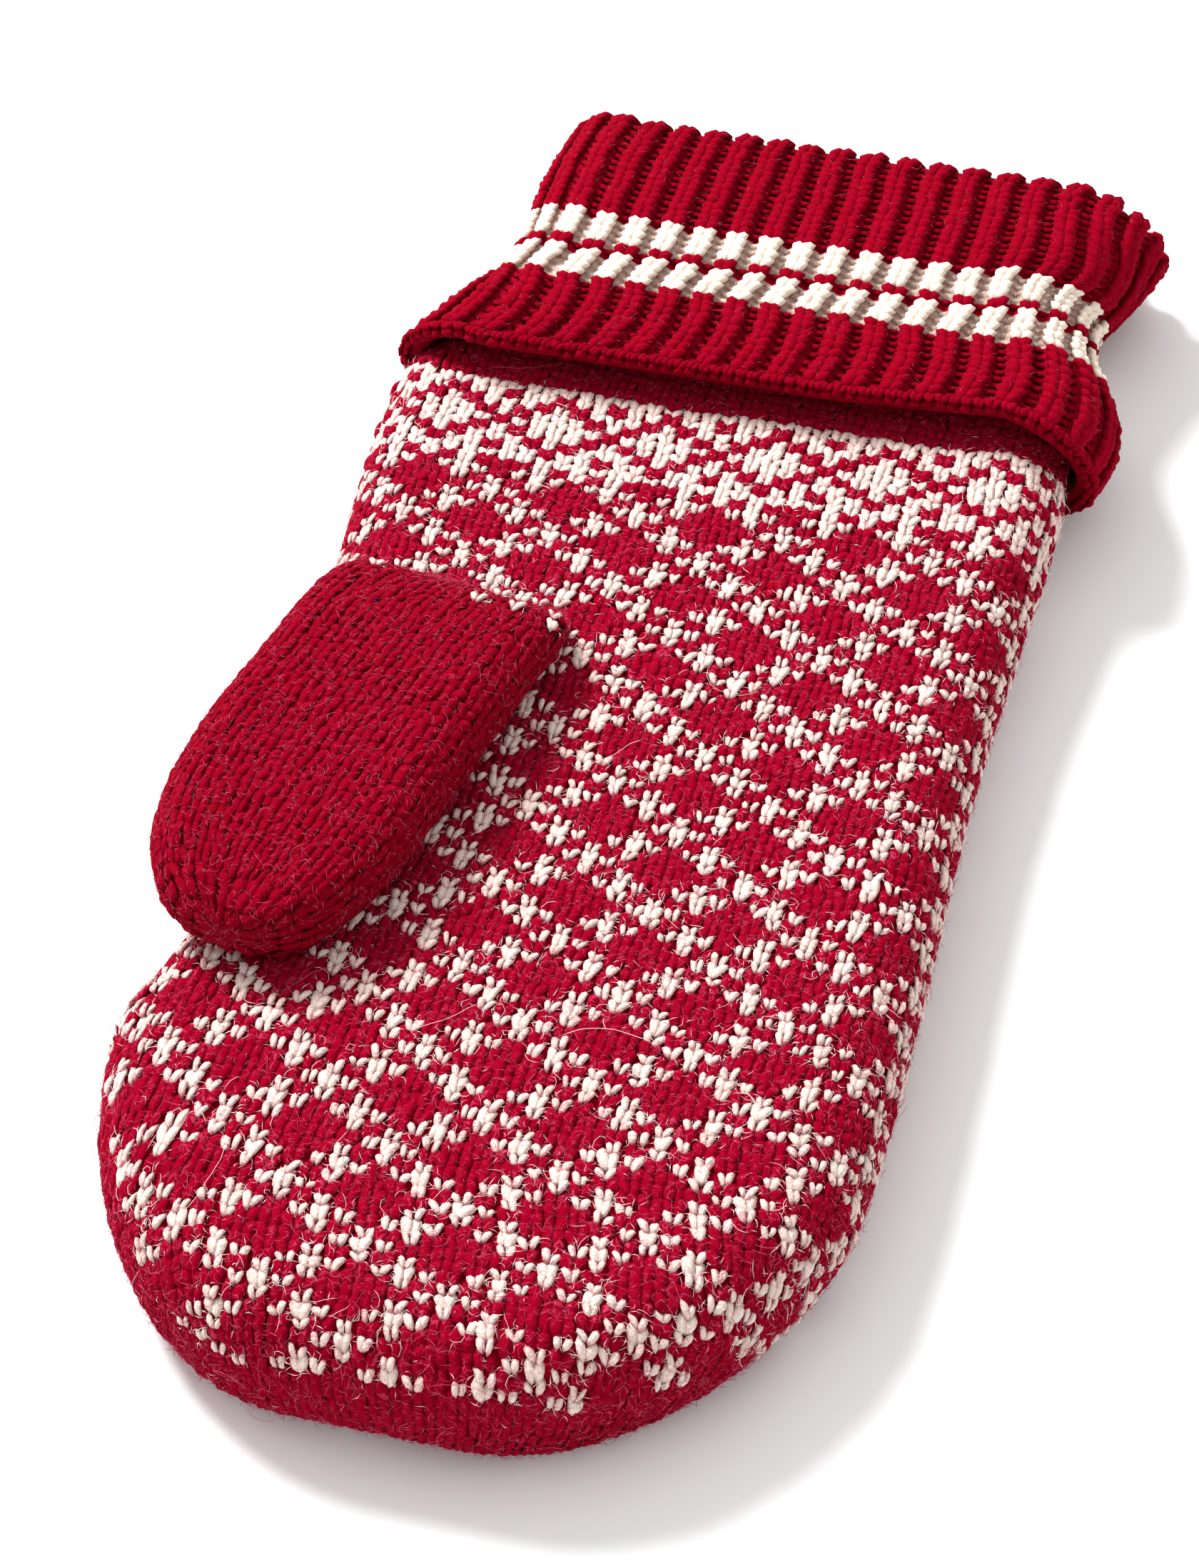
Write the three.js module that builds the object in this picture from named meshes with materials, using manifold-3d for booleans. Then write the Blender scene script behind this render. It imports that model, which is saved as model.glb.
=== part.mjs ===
// A knitted wool mitten lying palm up, with its ribbed cuff turned back.
// Millimetres, +Z up. +Y runs from the fingertips to the cuff, +X away from the thumb.
// The model is drawn with the fingertips at Y = 0 and the palm's middle line at X = 0,
// then the whole is moved so that the middle of its box stands at the origin.

import * as THREE from "three";
import { mergeVertices } from "three/addons/utils/BufferGeometryUtils.js";
import Module from "manifold-3d";

const wasm = await Module();
wasm.setup();

// Eighty stitches go round the hand and the cuff, so the cuff has forty ribs.
const RIBS_ROUND = 40;

// Walls of knitted cloth, and the gaps that are left between pieces.
const HAND_WALL = 2.8;
const THUMB_WALL = 2.4;
const CUFF_WALL = 3.0;
const GAP = 0.35;
const SEAM_GAP = 0.6;

// The hand lies flat and is this thick over the palm.
const HAND_THICK = 19.5;

// The rounded tip, one curve on each side of a short straight end.
const TIP_START_Y = -1.8;
const TIP_LEFT = { from: -4, reach: -42.9, length: 48, open: 2.5, close: 1.6 };
const TIP_RIGHT = { from: 4, reach: 44.2, length: 44, open: 2.1, close: 1.6 };

// Both side edges of the hand, from the end of the rounded tip to the wrist.
const HAND_EDGES = [
  { y: 47, left: -46.9, right: 48.2, low: 0, high: HAND_THICK },
  { y: 57, left: -44.1, right: 48.4, low: 0, high: HAND_THICK },
  { y: 68, left: -41.8, right: 48.3, low: 0, high: HAND_THICK },
  { y: 85, left: -41.4, right: 48.1, low: 0, high: HAND_THICK },
  { y: 108, left: -42.4, right: 47.5, low: 0, high: HAND_THICK },
  { y: 126, left: -44.6, right: 47.7, low: 0, high: HAND_THICK },
  { y: 141, left: -47.4, right: 48.3, low: 0.2, high: 19.7 },
  { y: 156, left: -48.8, right: 49.0, low: 1.4, high: 20.4 },
  { y: 166, left: -49.4, right: 49.6, low: 2.6, high: 21.1 },
  { y: 172, left: -48.6, right: 49.5, low: 3.3, high: 21.6 },
  { y: 177, left: -44.9, right: 48.6, low: 3.8, high: 21.8 },
  { y: 185, left: -41.1, right: 48.6, low: 4.2, high: 22.2 },
  { y: 191, left: -38.6, right: 49.2, low: 4.4, high: 22.2 },
];

// Outer face of the turned-back cuff, from its lip over a waist to its fold.
const CUFF_LENGTH = 61.5;
const CUFF_EDGES = [
  { y: 0, left: -50.6, right: 53.4, low: 0, high: 28.0 },
  { y: 9, left: -46.0, right: 54.8, low: 0, high: 27.6 },
  { y: 17, left: -42.2, right: 54.0, low: 0, high: 26.9 },
  { y: 22, left: -40.9, right: 52.0, low: 0, high: 26.6 },
  { y: 28, left: -40.4, right: 49.4, low: 0, high: 26.5 },
  { y: 36, left: -40.8, right: 47.9, low: 0, high: 26.3 },
  { y: 41, left: -41.0, right: 49.0, low: 0, high: 26.2 },
  { y: 49, left: -40.6, right: 52.0, low: 0, high: 26.0 },
  { y: CUFF_LENGTH, left: -39.2, right: 55.8, low: 0, high: 25.6 },
];

// The lip lies nearest the fingertips on top and falls back round the sides.
const LIP_MIDDLE_Y = 180.5;
const LIP_LEAN_TOP = 6.5;
const LIP_LEAN_RIGHT = 4.3;
const RIB_DEPTH = 1.1;
const LIP_ROUND = 1.6;
const WRIST_SEAM_IN = 17;
const LAYER_GAP = 0.6;
const FOLD_CROTCH_IN = 6;

// The thumb comes out of a slit and is folded down over the palm, its rows square to its own line.
const THUMB_REST_Z = HAND_THICK + GAP;
const THUMB_ROW_SLOPE = -0.13;
const THUMB_SECTIONS = [
  { y: 125.6, middle: -24.2, half: 10.6, low: 0.0, high: 1.3 },
  { y: 124.2, middle: -24.4, half: 13.4, low: 0.0, high: 3.0 },
  { y: 121.0, middle: -24.8, half: 15.4, low: 0.0, high: 5.8 },
  { y: 116.5, middle: -25.4, half: 16.2, low: 0.0, high: 8.9 },
  { y: 109.5, middle: -26.7, half: 16.4, low: 0.0, high: 11.0 },
  { y: 98.0, middle: -28.7, half: 16.4, low: 0.0, high: 12.0 },
  { y: 84.0, middle: -31.3, half: 16.5, low: 0.0, high: 12.2 },
  { y: 72.0, middle: -33.0, half: 15.8, low: 0.0, high: 12.0 },
  { y: 63.5, middle: -34.0, half: 14.0, low: 0.2, high: 11.4 },
  { y: 57.5, middle: -34.4, half: 11.0, low: 0.8, high: 10.6 },
  { y: 53.8, middle: -34.5, half: 7.6, low: 1.9, high: 9.2 },
  { y: 52.2, middle: -34.5, half: 4.0, low: 3.6, high: 7.4 },
];

// The way from the hand into the thumb, through both walls.
const SLIT_HALF_WIDTH = 10;
const SLIT_FROM_Y = 106;
const SLIT_TO_Y = 119;
const SLIT_MIDDLE_X = -26.5;
const SLIT_CUT_PAST = 1.5;

// Points round a section: on each straight side and on each round end.
const STRAIGHT_STEPS = 5;
const ROUND_STEPS = 8;
const RIB_STEPS = 3;
const RIB_PROFILE = [0, 0, 1];

const RED_WOOL = { color: 0xa80d2b, roughness: 0.92, metalness: 0 };

// Reads a table of sections between its rows, with smooth easing at the rows.
function readTable(table, y) {
  const last = table.length - 1;
  let index = 0;
  while (index < last - 1 && y > table[index + 1].y) {
    index += 1;
  }
  const from = table[index];
  const to = table[index + 1];
  const along = THREE.MathUtils.clamp((y - from.y) / (to.y - from.y), 0, 1);
  const row = {};
  for (const key of Object.keys(from)) {
    const before = table[Math.max(index - 1, 0)];
    const after = table[Math.min(index + 2, last)];
    const slopeFrom = (to[key] - before[key]) / (to.y - before.y);
    const slopeTo = (after[key] - from[key]) / (after.y - from.y);
    const span = to.y - from.y;
    const square = along * along;
    const cube = square * along;
    row[key] =
      (2 * cube - 3 * square + 1) * from[key] +
      (cube - 2 * square + along) * span * slopeFrom +
      (3 * square - 2 * cube) * to[key] +
      (cube - square) * span * slopeTo;
  }
  return row;
}

// A section is a flat tube: two straight sides joined by two round ends.
function makeSection(left, right, low, high) {
  const radius = (high - low) / 2;
  const half = (right - left) / 2;
  return {
    middleX: (left + right) / 2,
    middleZ: (low + high) / 2,
    radius,
    straight: Math.max(half - radius, 0.05),
  };
}

// The share of the way round is counted from the middle of the underside towards +X.
function sectionSpot(section, share) {
  const { radius, straight } = section;
  const roundLength = Math.PI * radius;
  const length = 4 * straight + 2 * roundLength;
  let way = (((share % 1) + 1) % 1) * length;
  if (way <= straight) {
    return { x: way, turn: -Math.PI / 2 };
  }
  way -= straight;
  if (way <= roundLength) {
    return { x: straight, turn: way / radius - Math.PI / 2 };
  }
  way -= roundLength;
  if (way <= 2 * straight) {
    return { x: straight - way, turn: Math.PI / 2 };
  }
  way -= 2 * straight;
  if (way <= roundLength) {
    return { x: -straight, turn: way / radius + Math.PI / 2 };
  }
  return { x: way - roundLength - straight, turn: 1.5 * Math.PI };
}

function pointOnSection(section, spot, y, inset) {
  const reach = section.radius - inset;
  return new THREE.Vector3(
    section.middleX + spot.x + reach * Math.cos(spot.turn),
    y,
    section.middleZ + reach * Math.sin(spot.turn),
  );
}

// Spots that fall on the corners of a section, so that its flat sides stay flat.
function cornerSpots(section) {
  const spots = [];
  const addStraight = (fromX, toX, turn) => {
    for (let step = 0; step < STRAIGHT_STEPS; step += 1) {
      spots.push({ x: THREE.MathUtils.lerp(fromX, toX, step / STRAIGHT_STEPS), turn });
    }
  };
  const addRound = (x, fromTurn) => {
    for (let step = 0; step < ROUND_STEPS; step += 1) {
      spots.push({ x, turn: fromTurn + (Math.PI * step) / ROUND_STEPS });
    }
  };
  addStraight(-section.straight, section.straight, -Math.PI / 2);
  addRound(section.straight, -Math.PI / 2);
  addStraight(section.straight, -section.straight, Math.PI / 2);
  addRound(-section.straight, Math.PI / 2);
  return spots;
}

// How far the lip, the fold and the wrist seam are set back at one spot of a section.
function leanBack(spot) {
  return LIP_MIDDLE_Y - LIP_LEAN_TOP * Math.sin(spot.turn) - LIP_LEAN_RIGHT * Math.cos(spot.turn);
}

// Rings of points become one closed mesh. A closed loop of rings joins its last to its first,
// and an open run has both of its ends filled with a fan round their middle.
function meshFromRings(rings, closedLoop) {
  const size = rings[0].length;
  const positions = rings.flat();
  const faces = [];
  const bands = closedLoop ? rings.length : rings.length - 1;
  for (let band = 0; band < bands; band += 1) {
    const near = band * size;
    const far = ((band + 1) % rings.length) * size;
    for (let step = 0; step < size; step += 1) {
      const next = (step + 1) % size;
      faces.push([near + step, near + next, far + next], [near + step, far + next, far + step]);
    }
  }
  if (!closedLoop) {
    const addCap = (start, flip) => {
      const middle = new THREE.Vector3();
      for (let step = 0; step < size; step += 1) {
        middle.addScaledVector(positions[start + step], 1 / size);
      }
      const hub = positions.push(middle) - 1;
      for (let step = 0; step < size; step += 1) {
        const here = start + step;
        const next = start + ((step + 1) % size);
        faces.push(flip ? [hub, next, here] : [hub, here, next]);
      }
    };
    addCap(0, true);
    addCap((rings.length - 1) * size, false);
  }
  const geometry = new THREE.BufferGeometry();
  const flat = positions.flatMap((point) => [point.x, point.y, point.z]);
  geometry.setAttribute("position", new THREE.Float32BufferAttribute(flat, 3));
  geometry.setIndex(faces.flat());
  return volumeOf(geometry) < 0 ? turnedOut(geometry) : geometry;
}

function volumeOf(geometry) {
  const spots = geometry.getAttribute("position");
  const index = geometry.getIndex();
  const corners = [new THREE.Vector3(), new THREE.Vector3(), new THREE.Vector3()];
  let volume = 0;
  for (let face = 0; face < index.count; face += 3) {
    corners.forEach((corner, turn) => corner.fromBufferAttribute(spots, index.getX(face + turn)));
    volume += corners[0].dot(corners[1].cross(corners[2])) / 6;
  }
  return volume;
}

function turnedOut(geometry) {
  const order = Array.from(geometry.getIndex().array);
  for (let face = 0; face < order.length; face += 3) {
    [order[face], order[face + 1]] = [order[face + 1], order[face]];
  }
  geometry.setIndex(order);
  return geometry;
}

function toSolid(geometry) {
  const bare = new THREE.BufferGeometry();
  bare.setAttribute("position", geometry.getAttribute("position").clone());
  if (geometry.getIndex()) {
    bare.setIndex(geometry.getIndex().clone());
  }
  const merged = mergeVertices(bare, 1e-4);
  return new wasm.Manifold(
    new wasm.Mesh({
      numProp: 3,
      vertProperties: new Float32Array(merged.getAttribute("position").array),
      triVerts: new Uint32Array(merged.getIndex().array),
    }),
  );
}

function toGeometry(solid) {
  const mesh = solid.getMesh();
  const geometry = new THREE.BufferGeometry();
  const spots = Float32Array.from(mesh.vertProperties);
  geometry.setAttribute("position", new THREE.BufferAttribute(spots, 3));
  geometry.setIndex(Array.from(mesh.triVerts));
  return geometry;
}

// A box with round ends that goes through the palm's wall and the thumb's underside.
function slitCutter() {
  const radius = (SLIT_TO_Y - SLIT_FROM_Y) / 2;
  const reach = SLIT_HALF_WIDTH - radius;
  const middleY = SLIT_FROM_Y + radius;
  const outline = new THREE.Shape();
  outline.absarc(SLIT_MIDDLE_X + reach, middleY, radius, -Math.PI / 2, Math.PI / 2);
  outline.absarc(SLIT_MIDDLE_X - reach, middleY, radius, Math.PI / 2, 1.5 * Math.PI);
  const depth = HAND_WALL + GAP + THUMB_WALL + 2 * SLIT_CUT_PAST;
  const cutter = new THREE.ExtrudeGeometry(outline, { depth, bevelEnabled: false, curveSegments: 6 });
  cutter.translate(0, 0, HAND_THICK - HAND_WALL - SLIT_CUT_PAST);
  return toSolid(cutter);
}

// One side edge of the tip: an oval curve that opens out from the straight end.
function tipEdge(side, fromTip) {
  const left = 1 - Math.min(fromTip / side.length, 1);
  return side.from + side.reach * (1 - left ** side.close) ** (1 / side.open);
}

// The tip's section, which also thins to nothing over a half-round rim.
function tipSection(y) {
  const fromTip = y - TIP_START_Y;
  const rim = HAND_THICK / 2;
  const rise = Math.sqrt(1 - (1 - Math.min(fromTip / rim, 1)) ** 2);
  return makeSection(
    tipEdge(TIP_LEFT, fromTip),
    tipEdge(TIP_RIGHT, fromTip),
    rim - rim * rise,
    rim + rim * rise,
  );
}

function handSection(y) {
  if (y < HAND_EDGES[0].y) {
    return tipSection(y);
  }
  const row = readTable(HAND_EDGES, y);
  return makeSection(row.left, row.right, row.low, row.high);
}

// Rows of the hand's mesh, closer together over the round of the fingertips.
const WRIST_END_Y = LIP_MIDDLE_Y - LIP_LEAN_TOP + WRIST_SEAM_IN;
const HAND_ROWS = [
  -1.72, -1.3, -0.4, 1.2, 3.6, 6.8, 10.6, 15.5, 21.5, 28.5, 37, 47, 57, 68, 82, 97, 112, 126, 139, 150,
  160, 167, 172, 177, 185, WRIST_END_Y,
];
const INSIDE_FROM_Y = 3;

// Between the thumb and the wrist the rows begin to fall back round the sides, as the cuff does.
const LEAN_FROM_Y = 132;
const LEAN_FULL_Y = 188;

function handRing(y, inset) {
  const section = handSection(y);
  return cornerSpots(section).map((spot) => {
    const share = THREE.MathUtils.smoothstep(y, LEAN_FROM_Y, LEAN_FULL_Y);
    const back = (leanBack(spot) - leanBack({ turn: Math.PI / 2 })) * share;
    return pointOnSection(section, spot, y + back, inset);
  });
}

function makeHand() {
  const outside = HAND_ROWS.map((y) => handRing(y, 0));
  const inside = HAND_ROWS.filter((y) => y > INSIDE_FROM_Y).map((y) => handRing(y, HAND_WALL));
  const shell = meshFromRings([...outside, ...inside.reverse()], false);
  return toGeometry(toSolid(shell).subtract(slitCutter()));
}

function thumbRing(row, inset) {
  const section = makeSection(
    row.middle - row.half,
    row.middle + row.half,
    THUMB_REST_Z + row.low,
    THUMB_REST_Z + row.high,
  );
  return cornerSpots(section).map((spot) => {
    const point = pointOnSection(section, spot, row.y, inset);
    point.y += THUMB_ROW_SLOPE * (point.x - section.middleX);
    return point;
  });
}

function makeThumb() {
  const outside = meshFromRings(THUMB_SECTIONS.map((row) => thumbRing(row, 0)), false);
  const roomy = THUMB_SECTIONS.filter((row) => row.high - row.low > 2 * THUMB_WALL + 3);
  const inside = meshFromRings(roomy.map((row) => thumbRing(row, THUMB_WALL)), false);
  return toGeometry(toSolid(outside).subtract(toSolid(inside)).subtract(slitCutter()));
}

// The cuff's wall in profile: how far from the lip, how deep under the outer face, how ribbed.
function cuffProfile() {
  const inner = CUFF_WALL + LAYER_GAP;
  const lining = inner + CUFF_WALL;
  const fold = CUFF_LENGTH;
  const turn = lining / 2;
  const seam = WRIST_SEAM_IN + SEAM_GAP;
  const crotch = fold - FOLD_CROTCH_IN;
  const along = (rows, depth, rib) => rows.map((y) => ({ y, depth, rib }));
  return [
    { y: LIP_ROUND, depth: 0.2, rib: 0.7 },
    ...along([9, 17, 22, 28, 32, 36, 41, 49, fold - turn], 0, 1),
    { y: fold - turn * 0.35, depth: turn * 0.3, rib: 1 },
    { y: fold, depth: turn, rib: 0.8 },
    { y: fold - turn * 0.35, depth: lining - turn * 0.3, rib: -0.8 },
    ...along([fold - turn, 49, 41, 36, 28, seam], lining, -0.8),
    ...along([seam, 28, 36, 41, 49, crotch], inner, 0),
    { y: crotch + LAYER_GAP, depth: (inner + CUFF_WALL) / 2, rib: 0 },
    ...along([crotch, 49, 41, 36, 28, 17, LIP_ROUND], CUFF_WALL, 0),
    { y: 0, depth: CUFF_WALL * 0.55, rib: 0.3 },
  ];
}

function makeCuff() {
  const steps = RIBS_ROUND * RIB_STEPS;
  const rings = cuffProfile().map((row) => {
    const edge = readTable(CUFF_EDGES, row.y);
    const section = makeSection(edge.left, edge.right, edge.low, edge.high);
    const ring = [];
    for (let step = 0; step < steps; step += 1) {
      const spot = sectionSpot(section, step / steps);
      const furrow = RIB_PROFILE[step % RIB_STEPS] * RIB_DEPTH * row.rib;
      ring.push(pointOnSection(section, spot, leanBack(spot) + row.y, row.depth + furrow));
    }
    return ring;
  });
  return meshFromRings(rings, true);
}

function makePiece(name, geometry) {
  geometry.computeVertexNormals();
  const piece = new THREE.Mesh(geometry, new THREE.MeshStandardMaterial(RED_WOOL));
  piece.name = name;
  return piece;
}

const mitten = new THREE.Group();
mitten.add(makePiece("hand", makeHand()));
mitten.add(makePiece("thumb", makeThumb()));
mitten.add(makePiece("cuff", makeCuff()));

// The middle of the underside of the whole mitten's box is the origin.
const box = new THREE.Box3().setFromObject(mitten);
const middle = box.getCenter(new THREE.Vector3());
mitten.position.set(-middle.x, -middle.y, -box.min.z);

export default mitten;
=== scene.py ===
import math

import bmesh
import bpy
import numpy as np
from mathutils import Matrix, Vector
from mathutils.bvhtree import BVHTree


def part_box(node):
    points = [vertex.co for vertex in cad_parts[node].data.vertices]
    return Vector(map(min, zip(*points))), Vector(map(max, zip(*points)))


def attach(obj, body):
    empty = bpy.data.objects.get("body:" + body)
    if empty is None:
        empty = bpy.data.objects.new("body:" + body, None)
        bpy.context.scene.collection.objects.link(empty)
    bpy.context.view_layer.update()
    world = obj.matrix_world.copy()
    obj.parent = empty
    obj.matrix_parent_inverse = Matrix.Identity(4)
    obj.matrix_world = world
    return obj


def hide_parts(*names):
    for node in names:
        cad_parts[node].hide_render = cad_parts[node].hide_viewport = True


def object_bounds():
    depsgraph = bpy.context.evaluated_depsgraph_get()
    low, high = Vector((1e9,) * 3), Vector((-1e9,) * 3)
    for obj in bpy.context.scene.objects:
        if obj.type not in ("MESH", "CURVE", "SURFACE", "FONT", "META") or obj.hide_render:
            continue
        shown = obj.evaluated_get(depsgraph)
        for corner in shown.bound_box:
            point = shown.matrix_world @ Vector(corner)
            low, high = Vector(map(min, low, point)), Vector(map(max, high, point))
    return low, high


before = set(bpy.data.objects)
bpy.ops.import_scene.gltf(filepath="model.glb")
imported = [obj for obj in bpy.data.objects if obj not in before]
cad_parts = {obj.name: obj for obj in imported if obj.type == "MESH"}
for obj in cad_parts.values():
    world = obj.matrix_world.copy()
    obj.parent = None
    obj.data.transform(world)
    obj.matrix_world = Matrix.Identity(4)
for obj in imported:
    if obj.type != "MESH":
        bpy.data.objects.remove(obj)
cad_low, cad_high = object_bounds()

MM = 0.001
rng = np.random.default_rng(4107)

# Places in the tables below are in millimetres from the fingertips and the palm's middle line.
# SHIFT moves them to the frame.

# gauge of the knitting
STITCH = 2.6
ROW = 1.867
HAND_THICK = 19.5
RIM = HAND_THICK / 2

# rounded tip: where each side starts, how far it reaches, over what length, and its two powers
TIP_START_Y = -1.8
TIP_END_Y = 47.0
TIP_LEFT = (-4.0, -42.9, 48.0, 2.5, 1.6)
TIP_RIGHT = (4.0, 44.2, 44.0, 2.1, 1.6)

# hand's edges: y, left, right, low, high
HAND_EDGES = np.array([
    (47, -46.9, 48.2, 0.0, 19.5),
    (57, -44.1, 48.4, 0.0, 19.5),
    (68, -41.8, 48.3, 0.0, 19.5),
    (85, -41.4, 48.1, 0.0, 19.5),
    (108, -42.4, 47.5, 0.0, 19.5),
    (126, -44.6, 47.7, 0.0, 19.5),
    (141, -47.4, 48.3, 0.2, 19.7),
    (156, -48.8, 49.0, 1.4, 20.4),
    (166, -49.4, 49.6, 2.6, 21.1),
    (172, -48.6, 49.5, 3.3, 21.6),
    (177, -44.9, 48.6, 3.8, 21.8),
    (185, -41.1, 48.6, 4.2, 22.2),
    (191, -38.6, 49.2, 4.4, 22.2),
])

# cuff's outer face from lip to fold: y from the lip, left, right, low, high
CUFF_LENGTH = 61.5
CUFF_EDGES = np.array([
    (0, -50.6, 53.4, 0.0, 28.0),
    (9, -46.0, 54.8, 0.0, 27.6),
    (17, -42.2, 54.0, 0.0, 26.9),
    (22, -40.9, 52.0, 0.0, 26.6),
    (28, -40.4, 49.4, 0.0, 26.5),
    (36, -40.8, 47.9, 0.0, 26.3),
    (41, -41.0, 49.0, 0.0, 26.2),
    (49, -40.6, 52.0, 0.0, 26.0),
    (CUFF_LENGTH, -39.2, 55.8, 0.0, 25.6),
])
CUFF_LAYERS = 6.6
RIB_DEPTH = 1.0
RIBS = 40
RIB_PITCH = 5.2

# The lip's line leans back from the top to the underside and to the right, and the rows of the
# hand near it lean with it.
LIP_MIDDLE_Y = 180.5
LIP_LEAN_TOP = 6.5
LIP_LEAN_RIGHT = 4.3
LEAN_FROM_Y = 132.0
LEAN_FULL_Y = 188.0

# How far the lip reaches past its line, and how much less at the right and more at the left:
# the amount, then from and to which distance from the middle line it grows.
LIP_REACH = 1.7
LIP_LESS_RIGHT = (2.7, 12.0, 50.0)
LIP_MORE_LEFT = (2.0, 38.0, 52.0)
LIP_REACH_LENGTH = 14.0

# thumb's sections from its tip to the slit: y, middle, half, low, high
THUMB_REST_Z = HAND_THICK + 0.35
THUMB_ROW_SLOPE = -0.13
THUMB_SECTIONS = np.array([
    (52.2, -34.5, 4.0, 3.6, 7.4),
    (53.8, -34.5, 7.6, 1.9, 9.2),
    (57.5, -34.4, 11.0, 0.8, 10.6),
    (63.5, -34.0, 14.0, 0.2, 11.4),
    (72.0, -33.0, 15.8, 0.0, 12.0),
    (84.0, -31.3, 16.5, 0.0, 12.2),
    (98.0, -28.7, 16.4, 0.0, 12.0),
    (109.5, -26.7, 16.4, 0.0, 11.0),
    (116.5, -25.4, 16.2, 0.0, 8.9),
    (121.0, -24.8, 15.4, 0.0, 5.8),
    (124.2, -24.4, 13.4, 0.0, 3.0),
    (125.6, -24.2, 10.6, 0.0, 1.3),
])

# The hand's right edge and its tip fix the shift. The solid's facets cut the tip a little short.
TIP_CUT = 0.08
hand_low, hand_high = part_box("hand")
SHIFT = np.array([
    hand_high.x / MM - HAND_EDGES[:, 2].max(),
    hand_low.y / MM - (TIP_START_Y + TIP_CUT),
    0.0,
])


# materials

# An sRGB hex value as a linear colour.
def linear(hex_colour):
    parts = [int(hex_colour[k:k + 2], 16) / 255 for k in (1, 3, 5)]
    return [p / 12.92 if p <= 0.04045 else ((p + 0.055) / 1.055) ** 2.4 for p in parts] + [1.0]


# One node with its settings. Each input is a value, or the output that feeds it.
def node(tree, kind, inputs, **settings):
    made = tree.nodes.new(kind)
    for key, value in settings.items():
        setattr(made, key, value)
    for socket, value in inputs.items():
        if isinstance(value, bpy.types.NodeSocket):
            tree.links.new(value, made.inputs[socket])
        else:
            made.inputs[socket].default_value = value
    return made.outputs


# Roughness and specular level of the cloth, of a single fibre and of the paper below it.
WOOL_FINISH = (0.95, 0.02)
FIBRE_FINISH = (0.8, 0.05)
PAPER_FINISH = (0.9, 0.1)


def new_material(name, roughness, specular):
    material = bpy.data.materials.new(name)
    material.use_nodes = True
    shader = material.node_tree.nodes["Principled BSDF"]
    shader.inputs["Roughness"].default_value = roughness
    shader.inputs["Specular IOR Level"].default_value = specular
    return material, shader


# Sizes of the wool's patterns in millimetres. A real fibre is 0.03 mm thick, too fine to show,
# so fuzz and curls are drawn as coarse as they need to show.
FUZZ_SIZE = 0.42
CLUMP_SIZE = 2.0
CARRIED_STRAND_SIZE = 1.4
BUMP_DEPTH = 0.5
BUMP_STRENGTH = 0.8

# Curls: size in millimetres, how far off in the noise they are taken, and how thick they are.
PALE_CURLS = (1.05, 0.31, 0.035)
STRAY_CURLS = (1.6, 0.87, 0.024)

# Waves of fibre along a leg and round it, and what sets the pattern of one stitch off from another.
YARN_FIBRES = (3.0, 16.0, 60.0)
YARN_TWIST = 0.35


# Curly lines of loose fibre on the cloth: where a soft noise passes through its middle value.
def curly_lines(tree, place, size, start, thick):
    offset = (start, -start, 0.7 * start)
    moved = node(tree, "ShaderNodeVectorMath", {0: place, 1: offset}, operation="ADD")[0]
    grain = {"Scale": 1 / (size * MM), "Detail": 1.0, "Roughness": 0.5, "Distortion": 0.8}
    soft = node(tree, "ShaderNodeTexNoise", {"Vector": moved, **grain})["Fac"]
    centred = node(tree, "ShaderNodeMath", {0: soft, 1: 0.5}, operation="SUBTRACT")[0]
    away = node(tree, "ShaderNodeMath", {0: centred}, operation="ABSOLUTE")[0]
    ends = {"Value": away, "From Min": thick, "From Max": 0.3 * thick}
    return node(tree, "ShaderNodeMapRange", ends, interpolation_type="SMOOTHSTEP")["Result"]


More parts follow.
